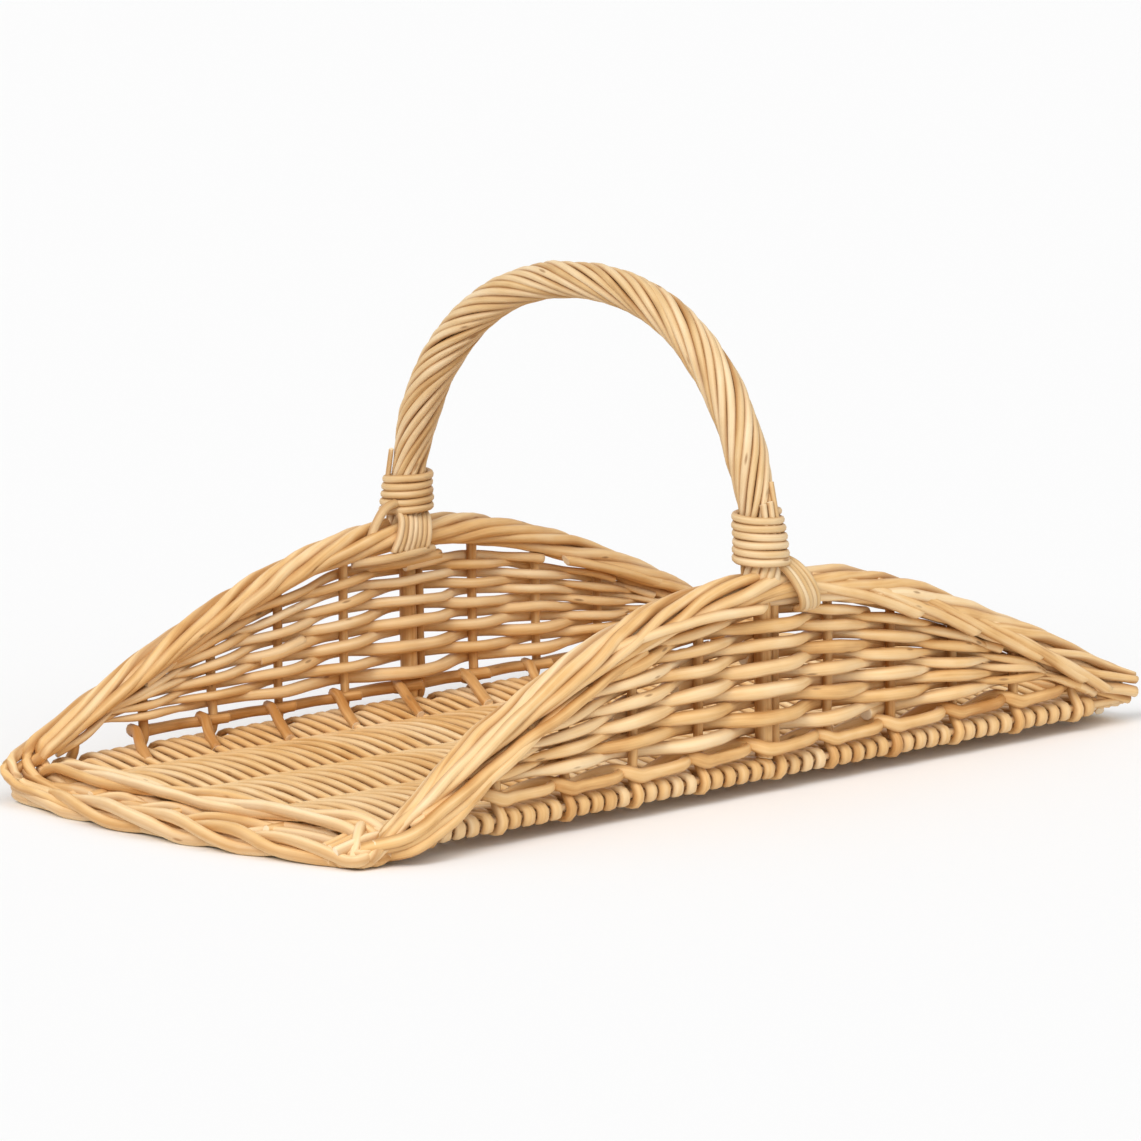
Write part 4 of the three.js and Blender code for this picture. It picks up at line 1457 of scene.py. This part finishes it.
@dataclass
class EndBorder:
    """The plaited border of one open end.

    Attributes:
        end: Which end it is.
        corner_lift: How far its corners curve up from the floor.
        strands: Rods in the plait.
        waves: How often each strand crosses the plait and comes back.
        cover_strands: Rods along its inner side, over the ends of the weave.
        knots: Sides of the tray at which short cut rods cross the border's corner.
        radius: Radius of the strands.
        width: The plait's width at its corners and at its middle.
        height: Its height at its corners and at its middle.
    """

    FILLER_PLACES = ((0.26, 0.0), (0.52, 0.0), (0.78, 0.0), (0.0, 7.5), (0.22, 6.0))

    end: End
    layout: Layout
    hand: Hand
    corner_lift: float
    knots: tuple[Side, ...] = ()
    strands: int = 6
    cover_strands: int = 3
    waves: float = 0.9
    radius: float = 3.2
    width: Pair = (22.0, 26.0)
    height: Pair = (10.7, 17.0)

    def underside(self, share: Floats) -> Floats:
        """Height of the border's underside: the corners' lift times a square from halfway out."""
        return self.corner_lift * np.clip(2 * np.abs(share) - 1, 0, 1) ** 2

    def plait(self) -> list[Rod]:
        """Makes the strands: each swings across the plait and up and down twice as often.

        With a phase that grows evenly along the border, a strand lies across it by the phase's
        cosine and up it by the sine of twice the phase, so the strands pass over and under. Its
        ends are turned in under the rims' tips.
        """
        lay = self.layout
        rods = []
        for strand in range(self.strands):
            share = np.linspace(-1, 1, 30)
            y = share * (lay.wall_y - 9)
            middle = np.clip(1 - share**2, 0, 1)
            width = self.width[0] + (self.width[1] - self.width[0]) * middle
            top = self.height[0] + (self.height[1] - self.height[0]) * middle
            bottom = self.underside(share)
            radius = self.radius * self.hand.between(0.9, 1.06)
            phase = 2 * np.pi * (strand / self.strands + self.waves * (share + 1) / 2)
            phase += self.hand.wander(y, 0.15, 180.0)
            x = lay.border_inner_x(y) + width / 2 + (width / 2 - radius) * np.cos(phase)
            z = (top + bottom) / 2 + np.maximum((top - bottom) / 2 - radius, 0.6) * np.sin(2 * phase)
            points = np.stack([x, y, np.maximum(z, bottom + radius)], axis=1)
            near, far = (
                np.array([
                    [x[place] - 2, side * (lay.wall_y - 2), points[place, 2] + 1],
                    [x[place] - 11, side * (lay.wall_y - 3), points[place, 2] + 3],
                ])
                for place, side in ((0, -1), (-1, 1))
            )
            path = even_steps(smooth_curve(np.vstack([near[::-1], points, far]), 5), 2.6)
            path *= [self.end.value, 1.0, 1.0]
            level = level_across(path)
            rods.append(self.hand.rod(path, radius, level, sides=10, stray=0.3, taper=0.15))
        return rods

    def fillers(self) -> list[Rod]:
        """Makes the plain rods along the border, under the plait and under the covers."""
        lay = self.layout
        rods = []
        for place, level in self.FILLER_PLACES:
            share = np.linspace(-1, 1, 24)
            y = share * (lay.wall_y - 20)
            x = lay.border_inner_x(y) + self.width[0] * place
            bottom = self.underside(share)
            sunk = np.clip((np.abs(y) - lay.wall_y + 48) / 28, 0, 1) ** 2
            z = bottom * (1 - 0.4 * sunk) + 1.3 * self.radius + level * (1 - sunk)
            path = np.stack([self.end.value * x, y, z], axis=1)
            across = level_across(path)
            rods.append(self.hand.rod(path, self.radius, across, sides=8, stray=0.3, taper=0.2))
        return rods

    def covers(self) -> list[Rod]:
        """Makes the rods that lie along the border's inner side, over the last of the weavers."""
        lay = self.layout
        rods = []
        for strand in range(self.cover_strands):
            y = np.linspace(-1, 1, 30) * (lay.wall_y - 5)
            phase = 2 * np.pi * (strand / self.cover_strands + self.waves * y / (2 * lay.wall_y))
            ends = np.clip((np.abs(y) - lay.wall_y + 30) / 25, 0, 1) ** 2
            x = lay.border_inner_x(y) - 1.0 + 5.5 * np.cos(phase)
            z = lay.mat_top + 0.4 + 2.0 * np.sin(2 * phase) - 10.0 * ends
            points = np.stack([self.end.value * x, y, z], axis=1)
            path = even_steps(smooth_curve(points, 5), 2.6)
            level = level_across(path)
            rods.append(self.hand.rod(path, self.radius * 0.9, level, sides=9, stray=0.3, taper=0.2))
        return rods

    def knot(self, side: Side) -> list[Rod]:
        """Makes the short rods at a corner: cut ones across it and one over them.

        Args:
            side: The corner's side of the tray.

        Returns:
            The short rods.
        """
        lay = self.layout
        x, y = lay.half_length - 9, lay.wall_y
        bundles = []
        for number in range(3):
            inner = y - 11 - 6 * number
            bundles.append([
                [x - 26, inner + 5, 12],
                [x - 8, inner + 2, 14],
                [x + 13 - 2 * number, inner - 3, 9],
            ])
        top = lay.mat_top
        bundles.append([
            [x - 30, y - 34, 10],
            [x - 17, y - 26, top - 3],
            [x - 4, y - 15, 17.5],
            [x + 8, y - 6, 5],
        ])
        rods = []
        for points in bundles:
            placed = np.array(points) * [self.end.value, side.value, 1.0]
            path = even_steps(smooth_curve(placed, 8), 2.2)
            level = level_across(path)
            rods.append(self.hand.rod(path, self.radius * 0.92, level, sides=9, stray=0.15, taper=0.15))
        return rods

    def build(self, shop: Workshop) -> None:
        """Makes the border's piece."""
        name = f"{self.end.label}_end_border"
        knots = [rod for side in self.knots for rod in self.knot(side)]
        rods = self.plait() + self.fillers() + self.covers() + knots
        shop.piece(f"{name}_strands", rods, PLAIT_WILLOW, [name])


@dataclass
class Handle:
    """The bow handle: core, roping, bindings and the roping's tails.

    Attributes:
        spring_z: Height where the bow springs from the rims.
        fullness: Power of the bow's ellipse, over 2 where its shoulders are full.
        lean: How far its crown leans towards the near wall.
        strands: Withies round the core.
        turns: Turns that they make over the whole bow.
        withy_flatness: A withy's thickness as a share of its width.
        crown_radius: Radius of the roped handle at its crown.
        girths: Heights along a leg and the roped handle's radius at each: at its foot, at its neck,
            where it is tied in and at both ends of its full shoulder.
        binding_pitch: Distance from one turn of a binding to the next.
        binding_turns: Turns of the near and of the far binding.
        binding_reach: A binding's reach round the foot at its bottom and at its top.
        near_ends: For each loose end above the near binding, its place beside the leg in X and Y,
            how far it stands up and its radius.
        far_ends: The same for the far binding.
    """

    layout: Layout
    hand: Hand
    spring_z: float = 109.0
    fullness: float = 2.2
    lean: float = 6.0
    strands: int = 13
    turns: float = 2.8
    withy_flatness: float = 0.88
    crown_radius: float = 9.9
    girths: tuple[Pair, ...] = ((113.0, 11.4), (133.0, 9.6), (149.0, 9.2), (175.0, 11.2), (215.0, 11.1))
    binding_bottom_z: float = 121.0
    binding_pitch: float = 4.3
    binding_radius: float = 2.12
    binding_turns: Pair = (6.3, 5.3)
    binding_reach: Pair = (13.6, 11.9)
    near_ends: tuple[tuple[float, float, float, float], ...] = (
        (-4.6, -9.9, 4.0, 1.8),
        (-0.8, -10.9, 5.0, 1.8),
        (2.9, -10.6, 15.0, 1.6),
    )
    far_ends: tuple[tuple[float, float, float, float], ...] = ((-9.7, 6.2, 13.0, 1.4),)

    def bow(self, angle: Floats) -> Floats:
        """Points of the bow: half an ellipse whose sine and cosine are raised to 2 / fullness.

        Args:
            angle: 0 at the near foot and pi at the far one.

        Returns:
            Points of its centre line.
        """
        out, up = np.cos(angle), np.clip(np.sin(angle), 0, 1)
        rise = self.layout.handle_top - self.crown_radius - self.spring_z
        y = -self.layout.wall_y * np.sign(out) * np.abs(out) ** (2 / self.fullness) - self.lean * up**2
        z = self.spring_z + rise * up ** (2 / self.fullness)
        return np.stack([np.zeros_like(angle), y, z], axis=1)

    def line(self, lowest: float, step: float) -> Floats:
        """Returns points of the bow above a height, at even steps."""
        points = self.bow(np.linspace(0, np.pi, 1500))
        return even_steps(points[points[:, 2] >= lowest], step)

    def core(self) -> list[Rod]:
        """Makes the core, with its feet driven down beside the centre stakes."""
        lay = self.layout
        foot = np.array([0, lay.wall_y, lay.mat_top])
        near, far = foot * [1, -1, 1], foot
        path = np.vstack([
            even_steps(np.array([near, [0, near[1], self.spring_z]]), 8.0)[:-1],
            self.line(self.spring_z, 6.0),
            even_steps(np.array([[0, far[1], self.spring_z], far]), 8.0)[1:],
        ])
        return [self.hand.rod(path, lay.core_radius - 0.1, ALONG_X, sides=10, stray=0.0, taper=0.0)]

    def girth(self, line: Floats) -> Floats:
        """Radius of the roped handle: spread at its feet, tied in, full above and slim at the crown.

        Args:
            line: Points of the bow.

        Returns:
            The outer radius at each point.
        """
        places = np.array([*self.girths, (line[:, 2].max(), self.crown_radius)])
        return np.interp(line[:, 2], places[:, 0], places[:, 1])

    def roping(self) -> list[Rod]:
        """Makes the withies laid round the core.

        Each withy runs round the bow at the handle's radius less its own, at an angle that grows
        evenly along it. Its own radius fills its share of the way round.
        """
        line = self.line(self.girths[0][0], 2.4)
        along = arc_lengths(line)
        outer = self.girth(line)
        second = np.cross(tangents(line), ALONG_X)
        packed = np.sin(np.pi / self.strands)
        radius = 1.08 * outer * packed / (1 + packed)
        flat = self.withy_flatness
        rods = []
        for strand in range(self.strands):
            angle = 2 * np.pi * (strand / self.strands + self.turns * along / along[-1])
            angle = angle + self.hand.wander(along, 0.06, 170.0)
            way = np.cos(angle)[:, None] * ALONG_X + np.sin(angle)[:, None] * second
            thick = radius * self.hand.between(0.93, 1.1)
            path = line + (outer - flat * radius + self.hand.wander(along, 0.18, 140.0))[:, None] * way
            round_about = np.cross(tangents(path), way)
            rods.append(self.hand.rod(path, thick, round_about, sides=9, stray=0.1, taper=0.08, flat=flat))
        return rods

    def binding(self, side: Side) -> list[Rod]:
        """Makes a binding: one rod wound up round a foot, wider at the bottom, and its loose ends.

        Args:
            side: The foot's wall.

        Returns:
            The winding and the cut ends that stand up out of it.
        """
        turns = self.binding_turns[0 if side is Side.NEAR else 1]
        share = np.linspace(0, 1, int(turns * 30))
        angle = 2 * np.pi * turns * share
        z = self.binding_bottom_z + self.binding_pitch * turns * share
        y = np.interp(z, *self.leg(side))
        reach = self.binding_reach[0] + (self.binding_reach[1] - self.binding_reach[0]) * share
        tucked = np.clip((share - 1) * turns / 0.3 + 1, 0, 1)
        reach = reach + self.hand.wander(angle, 0.14, 5.0) - 5.0 * tucked**2
        z = z + self.hand.wander(angle, 0.12, 4.2)
        path = np.stack([reach * np.cos(angle), y + side.value * reach * np.sin(angle), z], axis=1)
        wound = self.hand.rod(
            path, self.binding_radius, UPWARDS, sides=9, stray=0.03, taper=0.04, wide=1.02, flat=0.85
        )
        return [wound, *self.loose_ends(side, float(z[-1]))]

    def leg(self, side: Side) -> tuple[Floats, Floats]:
        """Heights along one leg of the bow, and where the leg is across the tray at each."""
        points = self.bow(np.linspace(0, np.pi / 2, 400))
        if side is Side.FAR:
            points = self.bow(np.linspace(np.pi, np.pi / 2, 400))
        return points[:, 2], points[:, 1]

    def loose_ends(self, side: Side, top: float) -> list[Rod]:
        """Makes the cut ends that stand up out of a binding beside the roping.

        Args:
            side: The foot's wall.
            top: Height of the binding's top.

        Returns:
            The cut ends.
        """
        places = self.near_ends if side is Side.NEAR else self.far_ends
        rods = []
        for x, out, lift, width in places:
            z = np.array([top - 14, top - 6, top, top + lift])
            y = np.interp(z, *self.leg(side)) + out
            points = np.stack([np.full(4, x), y, z], axis=1)
            rods.append(self.hand.rod(smooth_curve(points, 5), width, ALONG_X, sides=8, stray=0.15))
        return rods

    def near_tails(self) -> list[Rod]:
        """Makes the near foot's tails: side by side down the rim's outer face and in under it."""
        wall = self.layout.wall_y
        rods = []
        for number in range(5):
            shift = 3.0 * number
            points = np.array([
                [1.0 + shift, -wall - 4, 123.0],
                [3.5 + shift, -wall - 9.5, 120.0],
                [8.0 + shift, -wall - 13.4, 113.5],
                [13.0 + 0.97 * shift, -wall - 15.3, 104.0],
                [16.0 + 0.95 * shift, -wall - 13.0, 97.0],
                [17.5 + 0.92 * shift, -wall - 6.5, 95.2],
            ])
            path = even_steps(smooth_curve(points, 6), 1.8)
            rods.append(self.hand.rod(path, 1.75, ALONG_X, sides=8, stray=0.15, taper=0.15))
        return rods

    def far_tails(self) -> list[Rod]:
        """Makes the far foot's tails: a fan down the rim's inner face, a cross rod and a loop."""
        wall = self.layout.wall_y
        rods = []
        for number in range(7):
            spread = number - 3.0
            points = np.array([
                [3.0 * spread - 2.0, wall - 6.5, 122.0],
                [3.2 * spread - 4.0, wall - 11.5, 118.0],
                [3.6 * spread - 7.5, wall - 14.6, 110.0],
                [4.0 * spread - 11.0, wall - 14.8, 102.5],
            ])
            path = even_steps(smooth_curve(points, 6), 1.8)
            rods.append(self.hand.rod(path, 1.85, ALONG_X, sides=8, stray=0.15, taper=0.15))
        cross = np.array([
            [-44.0, wall - 5.0, 98.0],
            [-27.0, wall - 13.5, 99.5],
            [-8.0, wall - 15.5, 101.0],
            [8.0, wall - 12.5, 101.5],
        ])
        rods.append(self.hand.rod(smooth_curve(cross, 8), 2.6, UPWARDS, sides=8, stray=0.1, taper=0.2))
        loop = np.array([
            [-7.0, wall - 3, 126.0],
            [-14.0, wall - 6, 127.5],
            [-21.5, wall - 7, 125.5],
            [-27.5, wall - 7, 119.0],
            [-32.0, wall - 6, 110.0],
        ])
        rods.append(self.hand.rod(even_steps(smooth_curve(loop, 8), 1.8), 2.6, UPWARDS, sides=9, stray=0.1))
        return rods

    def build(self, shop: Workshop) -> None:
        """Makes the handle's pieces."""
        shop.piece("handle_core_rod", self.core(), CORE_WILLOW, ["handle_core"])
        shop.piece("handle_withies", self.roping(), HANDLE_WILLOW, ["handle_roping"])
        near = self.binding(Side.NEAR) + self.near_tails()
        far = self.binding(Side.FAR) + self.far_tails()
        shop.piece("near_binding_rod", near, BINDING_WILLOW, ["near_binding"])
        shop.piece("far_binding_rod", far, BINDING_WILLOW, ["far_binding"])


@dataclass
class Studio:
    """A white floor, soft lamps and the camera.

    Attributes:
        azimuth: Where the camera stands, in degrees from the near side towards +X.
        elevation: Its height over the horizon, in degrees.
        distance: Its distance from the target.
        roll: Its turn about its own line of sight, in degrees.
        target: The point that it looks at.
        focal_share: Its focal length as a share of the picture's width.
        centre_share: Where the target lies right of and above the picture's middle, as shares of
            the picture's width.
        sensor: Width of its sensor.
        floor_radius: Radius of the floor in metres.
        floor_colour: Colour of the floor.
        world_strength: Strength of the room's even light on the object.
    """

    FLOOR_POINTS = 64
    LAMP_DISTANCE = 3.0
    SIGHT_LIMIT = 100.0

    azimuth: float = -43.36
    elevation: float = 8.85
    distance: float = 3547.2
    roll: float = -0.89
    target: Triple = (0.0, 0.0, 105.0)
    focal_share: float = 5.8545
    centre_share: Pair = (0.00777, 0.00375)
    sensor: float = 36.0
    floor_radius: float = 16.0
    floor_colour: Triple = (0.93, 0.93, 0.93)
    world_strength: float = 0.5

    @staticmethod
    def direction(azimuth: float, elevation: float) -> Floats:
        """Returns the way from the object to a place at these angles."""
        a, e = np.radians(azimuth), np.radians(elevation)
        return np.array([np.sin(a) * np.cos(e), -np.cos(a) * np.cos(e), np.sin(e)])

    def camera(self) -> None:
        """Places the camera at the viewing angle, with its roll about the line of sight."""
        back = self.direction(self.azimuth, self.elevation)
        a, roll = np.radians(self.azimuth), np.radians(self.roll)
        level = np.array([np.cos(a), np.sin(a), 0.0])
        steep = np.cross(back, level)
        right = np.cos(roll) * level + np.sin(roll) * steep
        up = -np.sin(roll) * level + np.cos(roll) * steep
        place = (np.array(self.target) + back * self.distance) * MM
        data = bpy.data.cameras.new("camera")
        data.sensor_width = self.sensor
        data.lens = self.sensor * self.focal_share
        data.shift_x, data.shift_y = -self.centre_share[0], -self.centre_share[1]
        data.clip_end = self.SIGHT_LIMIT
        camera = bpy.data.objects.new("camera", data)
        turn = np.eye(4)
        turn[:3, :3] = np.stack([right, up, back], axis=1)
        turn[:3, 3] = place
        camera.matrix_world = Matrix(turn.tolist())
        bpy.context.scene.collection.objects.link(camera)
        bpy.context.scene.camera = camera

    def floor(self) -> None:
        """Lays a round floor under the object: one face with its corners on a circle."""
        angle = np.linspace(0, 2 * np.pi, self.FLOOR_POINTS, endpoint=False)
        rim = np.stack([np.cos(angle), np.sin(angle), np.zeros_like(angle)], axis=1) * self.floor_radius
        mesh = bpy.data.meshes.new("floor")
        mesh.from_pydata(rim.tolist(), [], [list(range(self.FLOOR_POINTS))])
        material = bpy.data.materials.new("floor_paper")
        bench = Bench(material)
        shader = bench.node("ShaderNodeBsdfDiffuse")
        shader.inputs["Color"].default_value = (*self.floor_colour, 1.0)
        output = bench.node("ShaderNodeOutputMaterial")
        bench.link(shader.outputs["BSDF"], output.inputs["Surface"])
        mesh.materials.append(material)
        floor = bpy.data.objects.new("floor", mesh)
        bpy.context.scene.collection.objects.link(floor)

    def lamp(self, name: str, azimuth: float, elevation: float, strength: float, softness: float) -> None:
        """Hangs a wide distant lamp.

        Args:
            name: The lamp's name.
            azimuth: Where it hangs, in degrees from the near side towards +X.
            elevation: Its height over the horizon, in degrees.
            strength: Its strength.
            softness: The angle that it fills, in degrees.
        """
        data = bpy.data.lights.new(name, "SUN")
        data.energy = strength
        data.angle = float(np.radians(softness))
        lamp = bpy.data.objects.new(name, data)
        way = Vector(self.direction(azimuth, elevation).tolist())
        lamp.rotation_mode = "QUATERNION"
        lamp.rotation_quaternion = way.to_track_quat("Z", "Y")
        lamp.location = way * self.LAMP_DISTANCE
        bpy.context.scene.collection.objects.link(lamp)

    def world(self) -> None:
        """Lights the room evenly, and shows it white to the camera and in reflections."""
        world = bpy.data.worlds.new("studio")
        bpy.context.scene.world = world
        bench = Bench(world)
        path = bench.node("ShaderNodeLightPath")
        seen = bench.math("MAXIMUM", path.outputs["Is Camera Ray"], path.outputs["Is Glossy Ray"])
        seen = bench.math("MAXIMUM", seen, path.outputs["Is Transmission Ray"])
        background = bench.node("ShaderNodeBackground")
        bench.link(bench.ranged(seen, (0, 1), (self.world_strength, 1.0)), background.inputs["Strength"])
        output = bench.node("ShaderNodeOutputWorld")
        background.inputs["Color"].default_value = (1.0, 1.0, 1.0, 1.0)
        bench.link(background.outputs["Background"], output.inputs["Surface"])

    def build(self) -> None:
        """Sets up the floor, the light and the camera."""
        self.floor()
        self.world()
        self.lamp("key_lamp", azimuth=-72.0, elevation=38.0, strength=1.7, softness=30.0)
        self.lamp("fill_lamp", azimuth=-5.0, elevation=46.0, strength=0.95, softness=70.0)
        self.camera()
        bpy.context.scene.view_settings.view_transform = "Standard"


BASE_WILLOW = WillowFinish("willow_base_rods", "willow_base", tint_spread=0.4)
STAKE_WILLOW = WillowFinish("willow_stake_rods", "willow_stake", lightness=-0.24)
CORE_WILLOW = WillowFinish("willow_core_rod", "willow_handle", lightness=-0.3)
ROW_WILLOW = WillowFinish("willow_row_rods", "willow_row")
# Paler than the near rows: painted light that offsets the shade on the far wall's inner face.
FAR_ROW_WILLOW_PAINTED_LIGHT = WillowFinish("willow_far_row_rods_painted_light", "willow_row", lightness=0.16, painted_shade_strength=0.5)
BORDER_WILLOW = WillowFinish("willow_border_rods", "willow_border", lightness=0.03, painted_shade_strength=0.65)
PLAIT_WILLOW = WillowFinish("willow_plait_rods", "willow_border", lightness=0.1, painted_shade_strength=0.5)
LOCK_WILLOW = WillowFinish("willow_lock_rods", "willow_border", tint_spread=0.55, lightness=-0.3)
DULL_SHADES = ((0.44, 0.23, 0.08), (0.68, 0.45, 0.21), (0.79, 0.59, 0.35), (0.88, 0.72, 0.49))
HANDLE_WILLOW = WillowFinish(
    "willow_handle_withies", "willow_handle", DULL_SHADES, tint_spread=0.4, lightness=-0.06, painted_shade_strength=0.65
)
BINDING_WILLOW = WillowFinish(
    "willow_binding_rods", "willow_binding", DULL_SHADES, tint_spread=0.3, lightness=-0.04
)


def main() -> None:
    """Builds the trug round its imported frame, then the studio."""
    logging.basicConfig(level=logging.INFO, format="%(name)s: %(message)s")
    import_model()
    layout = Layout()
    shop = Workshop()
    BaseMat(layout, Hand(11)).build(shop)
    near_tips = (Tip.GROUNDED, Tip.CUT)
    near_wall = Wall(
        Side.NEAR, layout, Hand(23), (4.35, 3.2), near_tips, ROW_WILLOW,
        filler_insets=(84.0, 7.0), tip_growth=4.0, run_in_count=3,
    )
    far_tips = (Tip.TURNED, Tip.TURNED)
    far_wall = Wall(
        Side.FAR, layout, Hand(37), (3.5, 2.75), far_tips, FAR_ROW_WILLOW_PAINTED_LIGHT,
        row_joins=(0, 0, 1), rim_strands=7, rim_turns=2.3, rim_fullness=0.87,
    )
    near_wall.build(shop)
    far_wall.build(shop)
    EndBorder(End.LEFT, layout, Hand(41), corner_lift=0.0, knots=(Side.NEAR,)).build(shop)
    EndBorder(End.RIGHT, layout, Hand(53), corner_lift=8.0).build(shop)
    Handle(layout, Hand(67)).build(shop)
    Studio().build()


if __name__ == "__main__":
    main()
